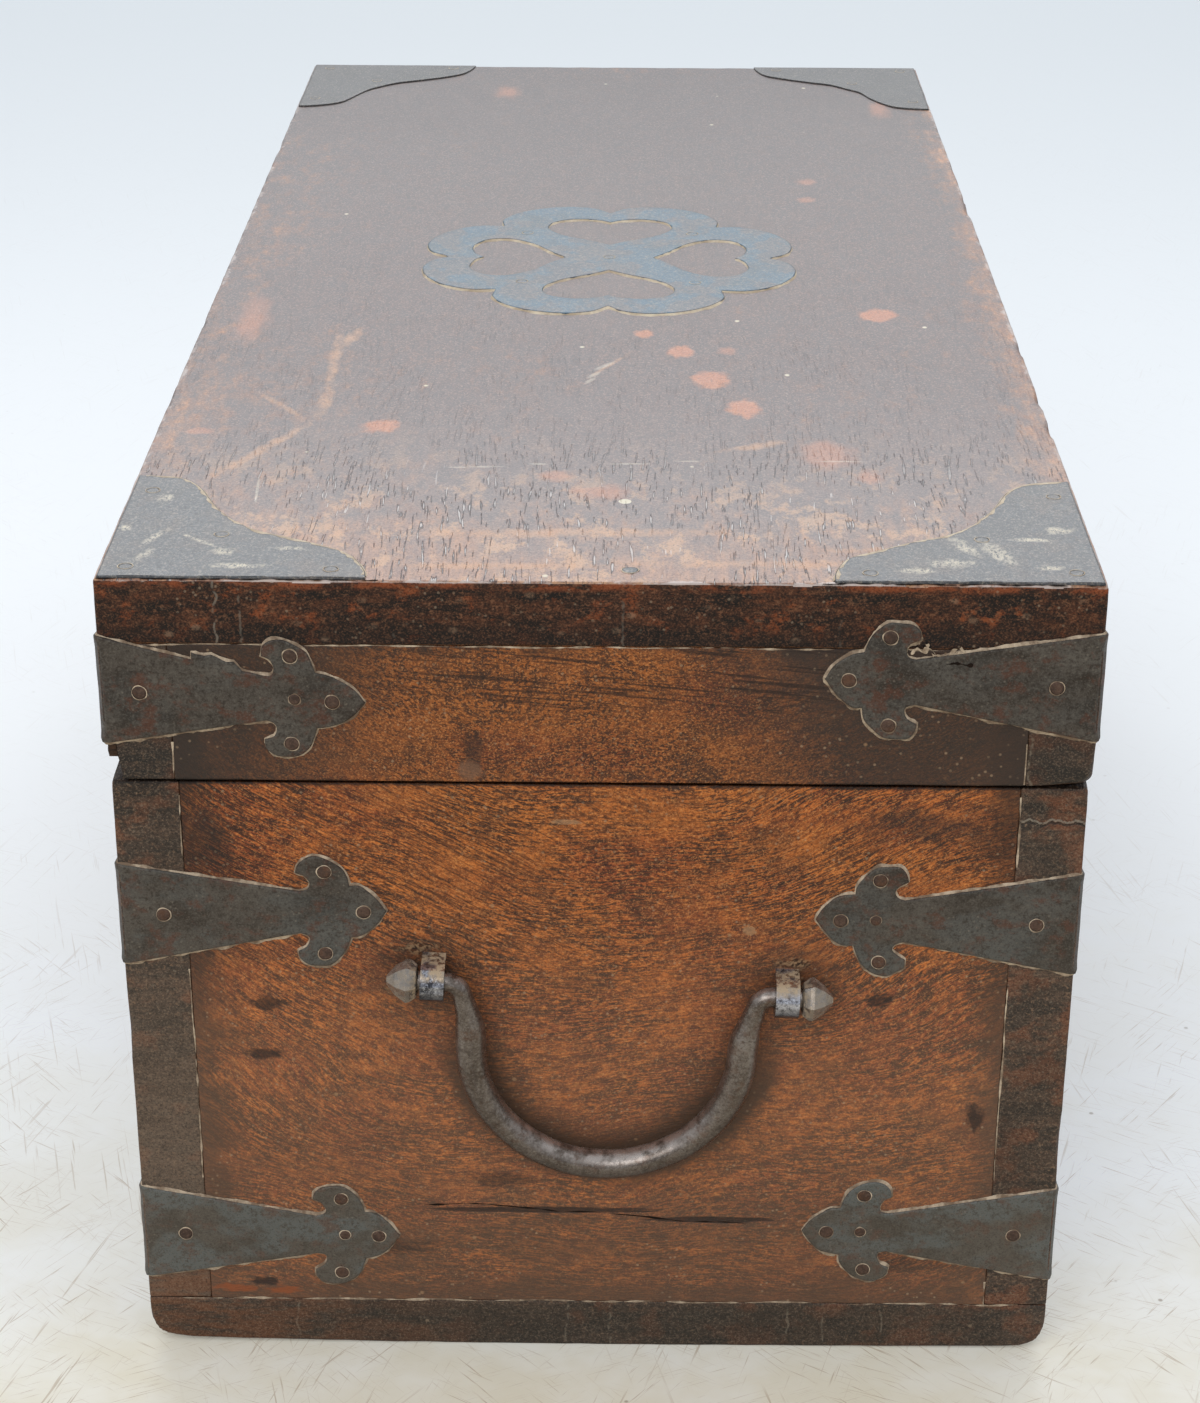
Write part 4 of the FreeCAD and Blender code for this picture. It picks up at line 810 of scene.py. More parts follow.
def sheet_metal(rings, bevel, grid, step):
    """Flat sheet with a bevelled rim: points (across, along, height) and faces.

    The first ring is the outline and the others are holes.
    """
    rings = [even_ring(ring, step) for ring in rings]
    rings = [ring if (signed_area(ring) > 0) == (row == 0) else ring[::-1]
             for row, ring in enumerate(rings)]
    tops = [offset_ring(ring, bevel) for ring in rings]
    flat = []
    edges = []
    for ring in tops + [offset_ring(ring, bevel + 0.3) for ring in rings]:
        start = len(flat)
        flat += ring
        edges += [(start + row, start + (row + 1) % len(ring)) for row in range(len(ring))]
    xs = [point.x for point in rings[0]]
    ys = [point.y for point in rings[0]]
    rim = list(flat)
    across = min(xs) + grid / 2
    while across < max(xs):
        along = min(ys) + grid / 2
        while along < max(ys):
            spot = Vector((across, along))
            if inside(spot, tops) and min((spot - near).length_squared for near in rim) > (0.45 * grid) ** 2:
                flat.append(spot)
            along += grid
        across += grid
    found, _, triangles, _, _, _ = delaunay_2d_cdt(flat, edges, [], 0, 1e-5)
    points = [(point.x, point.y, SHEET) for point in found]
    faces = []
    for triangle in triangles:
        middle = sum((found[row] for row in triangle), Vector((0, 0))) / 3
        if inside(middle, tops):
            corners = [found[row] for row in triangle]
            faces.append(list(triangle) if signed_area(corners) > 0 else list(triangle)[::-1])
    for ring, top in zip(rings, tops):
        base = []
        for point in top:
            nearest = min(range(len(found)), key=lambda row: (found[row] - point).length_squared)
            base.append(nearest)
        start = len(points)
        count = len(ring)
        points += [(point.x, point.y, SHEET - bevel) for point in ring]
        points += [(point.x, point.y, -0.05) for point in ring]
        for row in range(count):
            following = (row + 1) % count
            faces.append([base[row], start + row, start + following, base[following]])
            faces.append([start + row, start + count + row, start + count + following, start + following])
    return points, faces, rings


def tube(rows, sides, start=0, flip=False):
    """Faces between rows of points that go round."""
    faces = []
    for row in range(rows - 1):
        for side in range(sides):
            a, b = start + row * sides + side, start + row * sides + (side + 1) % sides
            faces.append([b, a, a + sides, b + sides] if flip else [a, b, b + sides, a + sides])
    return faces


def lay(points, mapping):
    return [mapping(*point) for point in points]


def dust_band(ring, mapping, weight, seed):
    """A thin ragged fillet of dust along the outside of a ring; weight(point, outward) sets its width."""
    outward = [spot - point for spot, point in zip(offset_ring(ring, -1.0), ring)]
    points = []
    faces = []
    count = len(ring)
    for row, (point, away) in enumerate(zip(ring, outward)):
        flow = noise.noise(Vector((point.x / 4, point.y / 4, seed)))
        flow += 0.5 * noise.noise(Vector((point.x / 1.3, point.y / 1.3, seed)))
        width = max(0.02, weight(point, away.normalized()) * (1.0 + 1.0 * flow))
        lift = min(0.6, 0.15 + width * 1.1)
        points.append(mapping(point.x - away.x * 0.1, point.y - away.y * 0.1, lift))
        far = point + away.normalized() * width
        points.append(mapping(far.x, far.y, 0.01))
    for row in range(count):
        if weight(ring[row], outward[row]) > 0:
            a, b = 2 * row, 2 * ((row + 1) % count)
            faces.append([a, a + 1, b + 1, b])
    return points, faces


def edge_line(ring, mapping, width, seed):
    """A thin broken line of worn metal just inside a ring's bevelled edge, on top of the sheet."""
    inner = offset_ring(ring, 1.0)
    points = []
    faces = []
    for point, far in zip(ring, inner):
        flow = noise.noise(Vector((point.x / 3, point.y / 3, seed)))
        flow += 0.6 * noise.noise(Vector((point.x / 1.1, point.y / 1.1, seed)))
        start = point.lerp(far, 0.26)
        stop = point.lerp(far, 0.28 + max(0.0, width * (1 + 1.6 * flow)))
        points += [mapping(start.x, start.y, 0.84), mapping(stop.x, stop.y, 0.84)]
    for row in range(len(ring) - 1):
        if min(ring[row]) > 1.6 and min(ring[row + 1]) > 1.6:
            faces.append([2 * row, 2 * row + 1, 2 * row + 3, 2 * row + 2])
    return points, faces


def ribbon(path, across_of, width, seed, rag):
    """A flat ragged strip along a path of points; across_of is the direction of its width."""
    points = []
    faces = []
    for row, point in enumerate(path):
        flow = noise.noise(Vector((row * 0.37, seed, 1.7))) + 0.6 * noise.noise(Vector((row * 0.13, seed, 4.1)))
        half = max(0.0, width / 2 * (1 + rag * 2 * flow))
        sway = across_of * noise.noise(Vector((row * 0.09, seed, 8.3))) * width * 1.6
        points.append(Vector(point) + sway + across_of * half)
        points.append(Vector(point) + sway - across_of * half)
    for row in range(len(path) - 1):
        a = 2 * row
        faces.append([a, a + 1, a + 3, a + 2])
    return points, faces


class Heap:
    """Points and faces of many small things that become one piece."""

    def __init__(self):
        self.points = []
        self.faces = []

    def add(self, points, faces):
        start = len(self.points)
        self.points += [Vector(point) for point in points]
        self.faces += [[start + row for row in face] for face in faces]


# ---------------------------------------------------------------- boards

def cupped(point):
    """The bottom board is cupped: its long edges lift off the floor a little."""
    lift = (1.3 if point.y > 0 else 0.7) * (point.y / HALF_WIDTH) ** 2
    return Vector((point.x, point.y, point.z + lift * (1 - point.z / 12.5)))


def split_corner(point):
    """The lid's back rail has lost a sliver of its lower edge towards the near end."""
    share = min(1.0, max(0.0, (-150 - point.x) / 60))
    depth = 3.2 * share * (1 + 0.35 * noise.noise(point / 5)) * min(1.0, max(0.0, (158.5 - point.z) / 1.2))
    return Vector((point.x, min(point.y, LID_HALF_WIDTH - depth), point.z))


worn_board("bottom_board", WOOD_DARK, "chest", 0.6, low_round=7.0, trim=cupped, chips=[
    ((-232, 104, 1), 9, 2.4), ((-232, -104, 2), 8, 2.0), ((232, 104, 0), 8, 2.0)])
worn_board("front_board", WOOD_DARK, "chest", 0.55, chips=[
    ((-232, -104.5, 57), 9, 1.6), ((-232, -104.5, 147), 4, 0.8)])
worn_board("back_board", WOOD_DARK, "chest", 0.55, chips=[
    ((-232, 104.5, 147), 3, 0.5), ((-232, 104.5, 86), 9, 1.0)])
worn_board("left_end_board", WOOD_PANEL, "chest", 0.3, step=6.0)
worn_board("right_end_board", WOOD_PANEL, "chest", 0.3, step=6.0)
worn_board("lid_front_rail", WOOD_DARK, "lid", 0.5, chips=[
    ((-232.7, -105.2, 147.5), 15, 2.2)])
worn_board("lid_back_rail", WOOD_DARK, "lid", 0.5, trim=split_corner)
worn_board("lid_left_end_rail", WOOD_PANEL, "lid", 0.35)
worn_board("lid_right_end_rail", WOOD_PANEL, "lid", 0.35)
worn_board("top_board", WOOD_TOP, "lid", 0.85, rim=WOOD_RIM, chips=[
    ((-232.7, -105.2, 194.3), 5, 0.8), ((-137.8, -105.2, 194.3), 7, 1.6), ((-116.5, -105.2, 194.3), 6, 1.4),
    ((-78, -105.2, 194.3), 6, 1.2), ((52, -105.2, 194.3), 8, 1.8), ((63, -105.2, 194.3), 5, 1.6),
    ((-60, 105.2, 194.3), 7, 1.0), ((120, 105.2, 194.3), 9, 1.1), ((-232.7, 62, 194.3), 6, 0.5)])


# ---------------------------------------------------------------- sheet iron

SIDEWAYS = Vector((0, 1, 0))
UPRIGHT = Vector((0, 0, 1))
CORNER_SIGNS = {"front_left": (-1, -1), "back_left": (-1, 1), "front_right": (1, -1), "back_right": (1, 1)}
# Straps: radius of the fold, length of the measured leg, length of the side legs.
FOLD = 0.9
STRAP_REACH = 57.6
SIDE_REACH = 58.0
STRAP_SPOTS = [(8.4, 0.0), (41.6, 10.1), (41.2, -10.2), (50.4, 0.0)]

# Upper half of a strap's leg as measured: runs of (distance from the corner, height from its middle).
STRAP_RUNS = [
    [(0.0, 12.4), (35.9, 5.2)],
    [(35.9, 5.2), (37.5, 5.6), (38.1, 7.0), (37.3, 8.7), (35.3, 9.7)],
    [(35.3, 9.7), (35.5, 11.6), (37.0, 13.0), (39.5, 13.6), (42.4, 13.0), (44.9, 11.1), (46.4, 8.7),
     (46.9, 6.4)],
    [(46.9, 6.4), (49.3, 6.2), (52.3, 5.0), (55.2, 2.9), (STRAP_REACH, 0.0)],
]
HEAD_SHIFTS = {("upper", "back_left"): 2.8, ("upper", "front_left"): 2.2, ("lower", "back_left"): 3.0,
               ("lower", "front_left"): 2.0, ("lid", "back_left"): 0.0, ("lid", "front_left"): 2.7}

# The same first run with the lapped tear that one lid strap has along its upper edge.
TORN_RUN = [(0.0, 12.4), (10.0, 10.3), (19.9, 8.3), (20.4, 9.7), (23.0, 9.0), (24.2, 9.2), (27.5, 8.0),
            (29.0, 8.0), (31.3, 6.2), (35.9, 5.2)]


def strap_ring(seed, reach_end, shift, torn):
    """Outline of a whole strap laid flat: the end leg runs to +s and the side leg to -s."""
    shaker = random.Random(seed)
    ring = []
    for way, reach in ((1, reach_end), (-1, SIDE_REACH)):
        stretch = reach / STRAP_REACH
        for half in (way, -way):
            quarter = []
            runs = [TORN_RUN] + STRAP_RUNS[1:] if torn and way == 1 and half == 1 else STRAP_RUNS
            for run in runs:
                shaken = [(along * stretch + shaker.uniform(-0.3, 0.3) * (0.3 < along < 57),
                           up + shaker.uniform(-0.3, 0.3) * (0.3 < along < 57)) for along, up in run]
                shaken[0] = (run[0][0] * stretch, run[0][1])
                shaken[-1] = (run[-1][0] * stretch, run[-1][1])
                quarter += [Vector(spot) for spot in shaken[:-1]] if run is TORN_RUN else smooth_run(shaken)
            quarter = [Vector((way * (point.x + shift * head_share(point.x)), half * point.y))
                       for point in quarter]
            tip = Vector((way * reach, 0))
            if half == way:
                ring += quarter
                ring.append(tip)
            else:
                ring += quarter[:0:-1]
    return ring


def head_share(s):
    """How much of a strap's head shift reaches a place along its leg: none at the root and the tip."""
    return min(1.0, s / 30) * min(1.0, max(0.0, (STRAP_REACH - s) / 9))


def strap_mapping(corner, half_length, half_width, height, tilt_end, tilt_side, seed):
    """Bends a flat strap round a corner: returns a function of (s, t, height above the wood)."""
    along_sign, across_sign = CORNER_SIGNS[corner]
    arc = FOLD * math.pi / 4

    def mapping(s, t, lift):
        up = height + t + (s * math.tan(tilt_end) if s > 0 else -s * math.tan(tilt_side))
        rise = 0.0
        if lift > 0.2:
            rise = 0.10 * noise.noise(Vector((s / 9, t / 7, seed))) + 0.04 * noise.noise(
                Vector((s / 3, t / 3, seed)))
            rise = min(rise, 0.05)
        out = lift + rise
        if s > arc:
            along, across = -out, FOLD + s - arc
        elif s < -arc:
            along, across = FOLD - s - arc, -out
        else:
            turn = math.radians(45) * (1 - s / arc)
            along = FOLD - (FOLD + out) * math.cos(turn)
            across = FOLD - (FOLD + out) * math.sin(turn)
        return Vector((along_sign * (half_length - along), across_sign * (half_width - across), up))

    return mapping


def disc_nail(mapping, s, t, radius, height, heap, dust, seed):
    """A worn low-domed nail head and the thin ring of dust round it."""
    shaker = random.Random(seed)
    sides = 18
    points = []
    rows = [(1.0, -0.06), (0.97, height * 0.45), (0.80, height * 0.85), (0.42, height)]
    tip_s, tip_t = shaker.uniform(-0.2, 0.2), shaker.uniform(-0.2, 0.2)
    for scale, up in rows:
        for side in range(sides):
            angle = math.tau * side / sides
            wobble = 1 + 0.05 * math.sin(3 * angle + seed) + 0.03 * math.sin(5 * angle + 2 * seed)
            points.append(mapping(s + radius * scale * wobble * math.cos(angle),
                                  t + radius * scale * wobble * math.sin(angle), SHEET + up))
    points.append(mapping(s + tip_s, t + tip_t, SHEET + height * 0.96))
    faces = tube(len(rows), sides)
    last = (len(rows) - 1) * sides
    for side in range(sides):
        faces.append([last + side, last + (side + 1) % sides, len(points) - 1])
    heap.add(points, faces)
    ring = []
    ring_faces = []
    for side in range(sides + 6):
        angle = math.tau * side / (sides + 6)
        flow = noise.noise(Vector((math.cos(angle) * 1.4, math.sin(angle) * 1.4, seed * 3.7)))
        width = max(0.03, 0.19 + 0.22 * flow)
        for extra in (0.0, width):
            ring.append(mapping(s + (radius + extra) * math.cos(angle), t + (radius + extra) * math.sin(angle),
                                0.96 - 0.04 * (extra > 0)))
    for side in range(sides + 6):
        a, b = 2 * side, 2 * ((side + 1) % (sides + 6))
        ring_faces.append([a, a + 1, b + 1, b])
    dust.add(ring, ring_faces)


nails = {"chest": Heap(), "lid": Heap(), "plates": Heap(), "fitting": Heap()}
dust = {"chest": Heap(), "lid": Heap(), "top": Heap()}
cracks_and_shadows = {"chest": Heap(), "lid": Heap()}

# Per tier: node, body, half sizes, and for each corner the height, the end leg's reach and its tilt.
TIERS = {
    "lower": ("chest", HALF_LENGTH, HALF_WIDTH, {
        "back_left": (31.2, 58.8, -0.4), "front_left": (32.5, 57.4, 0.7), "back_right": (31.8, 58, 0.3),
        "front_right": (32.3, 57.6, -0.4)}),
    "upper": ("chest", HALF_LENGTH, HALF_WIDTH, {
        "back_left": (114.9, 58.0, 1.3), "front_left": (114.1, 57.0, 1.0), "back_right": (115.2, 57.7, -0.5),
        "front_right": (114.8, 58.2, 0.4)}),
    "lid": ("lid", LID_HALF_LENGTH, LID_HALF_WIDTH, {
        "back_left": (169.2, 55.6, -2.6), "front_left": (171.2, 57.9, 1.9), "back_right": (170.2, 58.2, 0.5),
        "front_right": (169.8, 57.5, -0.6)}),
}
CENTRE_NAILS = {("lid", "back_left"), ("upper", "front_left"), ("lower", "back_left"), ("lower", "front_left"),
                ("upper", "back_right"), ("lid", "front_right")}

for tier, (owner, half_length, half_width, corners) in TIERS.items():
    heap = Heap()
    for row, (corner, (height, reach, tilt)) in enumerate(corners.items()):
        seed = 10 * len(tier) + row + ord(tier[0])
        mapping = strap_mapping(corner, half_length, half_width, height, math.radians(tilt),
                                math.radians(0.4 * (row - 1.5)), seed)
        shift = HEAD_SHIFTS.get((tier, corner), 1.0)
        ring = strap_ring(seed, reach, shift, (tier, corner) == ("lid", "back_left"))
        points, faces, rings = sheet_metal([ring], 0.22, 2.4, 0.9)
        flip = CORNER_SIGNS[corner][0] * CORNER_SIGNS[corner][1] > 0
        heap.add(lay(points, mapping), [face[::-1] for face in faces] if flip else faces)
        dust[owner].add(*dust_band(
            rings[0], mapping,
            lambda point, away: 0.24 + 0.20 * max(0.0, away.y) + 0.44 * max(0.0, -away.y), seed))
        for way, stretch in ((1, reach / STRAP_REACH), (-1, 1.0)):
            for number, (s, t) in enumerate(STRAP_SPOTS):
                s += shift * head_share(s)
                disc_nail(mapping, way * s * stretch, t, *STRAP_NAIL, nails[owner], dust[owner],
                          seed * 7 + number + way)
            if (tier, corner) in CENTRE_NAILS:
                disc_nail(mapping, way * (42.2 + shift) * stretch, 0.2, *CENTRE_NAIL, nails[owner], dust[owner],
                          seed + 90)
    new_piece(f"{tier}_straps_worn", heap.points, heap.faces, STRAP, owner, (f"{tier}_straps",))

# Matted dust in the upper notch of the lid's front strap, and a worn slot below it.
matted = strap_mapping("front_left", LID_HALF_LENGTH, LID_HALF_WIDTH, 171.2, math.radians(1.9), 0.0, 5)
for number, (spots, width) in enumerate((
        (((40.8, 9.0), (39.6, 10.6), (38.6, 8.8), (37.8, 10.0), (36.8, 8.0), (36.0, 8.8)), 0.5),
        (((40.2, 6.6), (39.0, 8.0), (37.6, 6.8), (36.2, 7.6), (34.8, 6.4)), 0.6),
        (((41.4, 7.4), (40.2, 5.4), (38.0, 5.0), (35.4, 5.2), (32.0, 5.6)), 0.9),
        (((35.4, 5.8), (32.0, 6.4), (29.0, 6.6), (26.7, 6.5), (22.0, 7.4), (17.0, 8.3), (12.0, 9.5),
          (6.0, 11.0)), 0.9),
        (((32.4, 6.6), (31.2, 8.0), (29.8, 8.2), (28.4, 6.8)), 1.0))):
    curl = [matted(s, t, 0.5) for s, t in smooth_run(spots, 0.35)]
    dust["lid"].add(*ribbon(curl, Vector((0, 0.35, 0.9)), width, 60 + number, rag=0.9))
slot = [matted(s, t, 0.84) for s, t in smooth_run(((32.6, 4.1), (29.6, 4.4), (26.7, 4.8)), 0.35)]
cracks_and_shadows["lid"].add(*ribbon(slot, UPRIGHT, 0.55, 71.0, rag=0.9))

PLATE_RUN = [(56.6, 0.7), (55.9, 5.5), (52.9, 13.0), (46.6, 18.0), (38.3, 22.8), (31.6, 26.5), (26.3, 31.4),
             (22.2, 37.2), (19.3, 44.0), (15.0, 53.0), (10.1, 58.0), (3.4, 59.6), (0.7, 59.7)]
PLATE_SPOTS = [(6.0, 6.0), (49.0, 5.2), (5.2, 50.0), (23.8, 24.2)]


def plate_mapping(corner, seed):
    along_sign, across_sign = CORNER_SIGNS[corner]

    def mapping(across, along, lift):
        rise = 0.05 * noise.noise(Vector((across / 11, along / 11, seed))) if lift > 0.3 else 0.0
        return Vector((along_sign * (LID_HALF_LENGTH - along), across_sign * (LID_HALF_WIDTH - across),
                       LID_TOP + min(0.75, 0.6 * lift + rise)))

    return mapping


for row, corner in enumerate(CORNER_SIGNS):
    shaker = random.Random(row + 5)
    run = [(a + shaker.uniform(-0.4, 0.4), b + shaker.uniform(-0.4, 0.4)) for a, b in PLATE_RUN]
    run[0], run[-1] = PLATE_RUN[0], PLATE_RUN[-1]
    ring = [Vector((0.7, 0.7))] + smooth_run(run, 1.0) + [Vector(run[-1])]
    points, faces, rings = sheet_metal([ring], 0.3, 4.0, 1.0)
    mapping = plate_mapping(corner, row)
    flip = CORNER_SIGNS[corner][0] * CORNER_SIGNS[corner][1] < 0
    plate = lay(points, mapping)
    new_piece(f"corner_plate_worn_{corner}", plate, [face[::-1] for face in faces] if flip else faces, PLATE,
              "lid", (f"corner_plate_{corner}",))
    if "left" in corner:
        dust["top"].add(*dust_band(rings[0], mapping,
                                   lambda point, away: 0.30 if min(point) > 1.6 else 0.0, row))
        dust["top"].add(*edge_line(rings[0], mapping, 0.52, row))
    for number, (across, along) in enumerate(PLATE_SPOTS):
        disc_nail(mapping, across, along, *PLATE_NAIL, nails["plates"], dust["top"], row * 9 + number)


def ornament_rings():
    """The pierced fitting: eight round lobes with notches between, and four hearts."""
    outline = []
    for step in range(8):
        here = math.radians(45 * step)
        there = math.radians(45 * (step + 1))
        first, second = (44.7, 43.1) if step % 2 == 0 else (43.1, 44.7)
        start = Vector((math.cos(here), math.sin(here))) * first
        stop = Vector((math.cos(there), math.sin(there))) * second
        middle = Vector((math.cos((here + there) / 2), math.sin((here + there) / 2)))
        run = []
        for share in (0.0, 0.06, 0.2, 0.35, 0.5, 0.65, 0.8, 0.94, 1.0):
            chord = start.lerp(stop, share)
            bulge = 12.6 * math.sqrt(max(0.0, 1 - (2 * share - 1) ** 2))
            run.append(chord + middle * bulge)
        outline += smooth_run(run, 1.0)
    rings = [outline]
    heart = [(12.3, 0.0), (16.4, 5.2), (21.6, 13.0), (28.4, 17.5), (34.8, 16.2), (38.2, 10.2), (37.4, 3.6),
             (35.0, 0.0)]
    for quarter in range(4):
        turn = math.radians(90 * quarter)
        upper = smooth_run(heart, 1.0)
        lower = [Vector((point.x, -point.y)) for point in reversed(upper[1:])]
        ring = upper + [Vector(heart[-1])] + lower
        rings.append([Vector((point.x * math.cos(turn) - point.y * math.sin(turn),
                              point.x * math.sin(turn) + point.y * math.cos(turn))) for point in ring])
    return rings


def ornament_mapping(across, along, lift):
    rise = 0.06 * noise.noise(Vector((across / 12, along / 12, 3.3))) if lift > 0.3 else 0.0
    return Vector((across, along, LID_TOP + min(0.75, 0.6 * lift + rise)))


points, faces, rings = sheet_metal(ornament_rings(), 0.3, 4.0, 1.0)
new_piece("lid_ornament_worn", lay(points, ornament_mapping), faces, FITTING, "lid",
          ("lid_ornament",))
for row, ring in enumerate(rings):
    dust["top"].add(*dust_band(ring, ornament_mapping,
                               lambda point, away: 0.75 * max(0.0, 0.25 - away.x), 40 + row))
for number, (across, along) in enumerate([(0, 0), (23.5, 23.5), (-23.5, 23.5), (23.5, -23.5), (-23.5, -23.5)]):
    disc_nail(ornament_mapping, across, along, *PLATE_NAIL, nails["fitting"], dust["top"], 200 + number)


LEAF_SPOTS = [(0.58, 0.46), (-0.58, 0.46), (0.0, 0.74)]


def flat_mapping(x, y, z, turn):
    """Places a nail on an upright face at y that looks along turn * Y."""
    return lambda s, t, lift: Vector((x - turn * s, y + turn * lift, z + t))


for way in (-1, 1):
    for across, along in LEAF_SPOTS:
        below = flat_mapping(way * HINGE_PLACE + 18 * across, HALF_WIDTH + 0.4, HINGE_HEIGHT - 40 * along, 1)
        disc_nail(below, 0, 0, *LEAF_NAIL, nails["chest"], dust["chest"], 300 + way + across)
        above = flat_mapping(way * HINGE_PLACE + 18 * across, LID_HALF_WIDTH + 0.4, HINGE_HEIGHT + 27 * along, 1)
        disc_nail(above, 0, 0, *LEAF_NAIL, nails["lid"], dust["lid"], 310 + way + across)
for across, along in LEAF_SPOTS:
    front = flat_mapping(10 * across, -LID_HALF_WIDTH - 0.7, LID_BASE + 25 * along, -1)
    disc_nail(front, 0, 0, *LEAF_NAIL, nails["lid"], dust["lid"], 320 + across)

# A nail sunk in the top board near its end.
disc_nail(lambda s, t, lift: Vector((-225.8 + s, -6.2 + t, LID_TOP + 0.8 * (lift - SHEET) + 0.03)),
          0, 0, *TOP_NAIL, nails["plates"], dust["top"], 331)

new_piece("body_nail_heads", nails["chest"].points, nails["chest"].faces, NAIL, "chest",
          ("body_nails",))
new_piece("lid_nail_heads", nails["lid"].points, nails["lid"].faces, NAIL, "lid", ("lid_nails",))
new_piece("plate_nail_heads", nails["plates"].points, nails["plates"].faces, PLATE, "lid")
new_piece("fitting_nail_heads", nails["fitting"].points, nails["fitting"].faces, FITTING, "lid")


# ---------------------------------------------------------------- bails

def bail_path():
    """Stations of a bail from one stub's end to the other: place in its plane, heading, radius."""
    half, rise, run, taper = 30.0, 15.4, 6.0, 5.0
    flare = math.radians(15)
    left = run - taper * math.sin(flare)
    up = rise - taper * math.cos(flare)
    a, b = 1 - math.cos(flare), math.cos(flare)
    c, d = math.sin(flare), 1 - math.sin(flare)
    scale = a * d - b * c
    long_arc = (left * d - up * b) / scale
    tight_arc = (up * a - left * c) / scale
    rows = []
    for step in range(31):
        angle = math.radians(3 * step)
        rows.append((half * math.sin(angle), -rise - half * math.cos(angle)))
    for step in range(1, 7):
        angle = flare * step / 6
        rows.append((half + long_arc * (1 - math.cos(angle)), long_arc * math.sin(angle) - rise))
    for step in range(12):
        angle = flare + (math.pi / 2 - flare) * step / 11
        rows.append((half + run - tight_arc * math.cos(angle), tight_arc * (math.sin(angle) - 1)))
    rows += [(38.0, 0.0), (40.0, 0.0), (42.5, 0.0)]
    return [(-across, up) for across, up in reversed(rows[1:])] + rows


def bail_mesh(end, tilt):
    """The forged rod with slightly flattened sides, and a faceted knob at each end."""
    rows = bail_path()
    points = []
    sides = 20
    for row, (across, up) in enumerate(rows):
        before = rows[max(0, row - 1)]
        after = rows[min(len(rows) - 1, row + 1)]
        run = Vector((after[0] - before[0], after[1] - before[1])).normalized()
        share = min(1.0, max(0.0, (-up - 4.0) / 9.0))
        share = share * share * (3 - 2 * share)
        for side in range(sides):
            turn = math.tau * side / sides
            facet = 1 - 0.055 * abs(math.sin(2 * turn + 0.35)) ** 1.5
            rough = 1 + 0.035 * noise.noise(Vector((across / 7, up / 7, turn * 1.3 + len(end))))
            radius = (2.25 + 1.18 * share) * facet * rough
            away = math.cos(turn) * radius
            lift = math.sin(turn) * radius
            points.append((lift, across - run.y * away, up + run.x * away))
    faces = tube(len(rows), sides)
    for way in (-1, 1):
        start = len(points)
        shaker = random.Random(len(end) * 3 + way)
        knob = [(42.0, 2.3), (42.4, 3.4), (43.6, 4.3), (44.4, 4.42), (46.6, 2.9), (48.3, 0.9)]
        for across, radius in knob:
            for side in range(12):
                turn = math.tau * side / 12
                flat = math.cos(math.pi / 6) / math.cos(turn % (math.pi / 3) - math.pi / 6)
                size = radius * flat * (1 + shaker.uniform(-0.03, 0.03))
                points.append((math.cos(turn) * size, way * (across + 0.1 * (across - 42)),
                               math.sin(turn) * size * 1.12))
        faces += tube(len(knob), 12, start, way > 0)
        tip = list(range(start + (len(knob) - 1) * 12, start + len(knob) * 12))
        faces.append(tip if way < 0 else tip[::-1])
    lean = math.radians(tilt)
    hand = 1 if end == "right" else -1
    placed = []
    for x, y, z in points:
        x, y = hand * x, hand * y
        y, z = y * math.cos(lean) - z * math.sin(lean), y * math.sin(lean) + z * math.cos(lean)
        placed.append((x + hand * BAIL_OUT, y + BAIL_SIDE, z + BAIL_HEIGHT))
    piece = new_piece(f"{end}_bail_forged", placed, faces, FORGED, f"{end}_bail", (f"{end}_bail",))
    for face in piece.data.polygons:
        face.use_smooth = face.index < (len(rows) - 1) * sides


bail_mesh("left", 2.5)
bail_mesh("right", 0.0)


# ---------------------------------------------------------------- dust, cracks and painted shadows

def line(start, stop, step=1.0):
    start, stop = Vector(start), Vector(stop)
    count = max(2, int((stop - start).length / step))
    return [start.lerp(stop, row / count) for row in range(count + 1)]


# Just off the near end's face and the lid's.
NEAR = -HALF_LENGTH - 0.03
LID_NEAR = -LID_HALF_LENGTH - 0.03
for side, low, high in ((90.2, 46, 101), (90.2, 128, 144), (-90.2, 47, 100), (-90.2, 128, 145),
                        (-89.9, 12.5, 19)):
    seam = line((NEAR, side, low), (NEAR, side, high))
    dust["chest"].add(*ribbon(seam, SIDEWAYS, 0.22, side + low, rag=1.3))
for side, low, high in ((90.7, 148.4, 157), (-90.7, 148.4, 158)):
    seam = line((LID_NEAR, side, low), (LID_NEAR, side, high))
    dust["lid"].add(*ribbon(seam, SIDEWAYS, 0.22, side + low, rag=1.3))
seam = line((NEAR, 98, 12.5), (NEAR, -98, 12.5))
dust["chest"].add(*ribbon(seam, UPRIGHT, 0.30, 3.0, rag=1.3))
seam = line((LID_NEAR, 100, LID_DECK), (LID_NEAR, -100, LID_DECK))
dust["lid"].add(*ribbon(seam, UPRIGHT, 0.22, 6.0, rag=1.3))

for owner in ("chest", "lid"):
    new_piece(f"{owner}_dust", dust[owner].points, dust[owner].faces, DUST, owner)
new_piece("top_dust", dust["top"].points, dust["top"].faces, PALE_DUST, "lid")

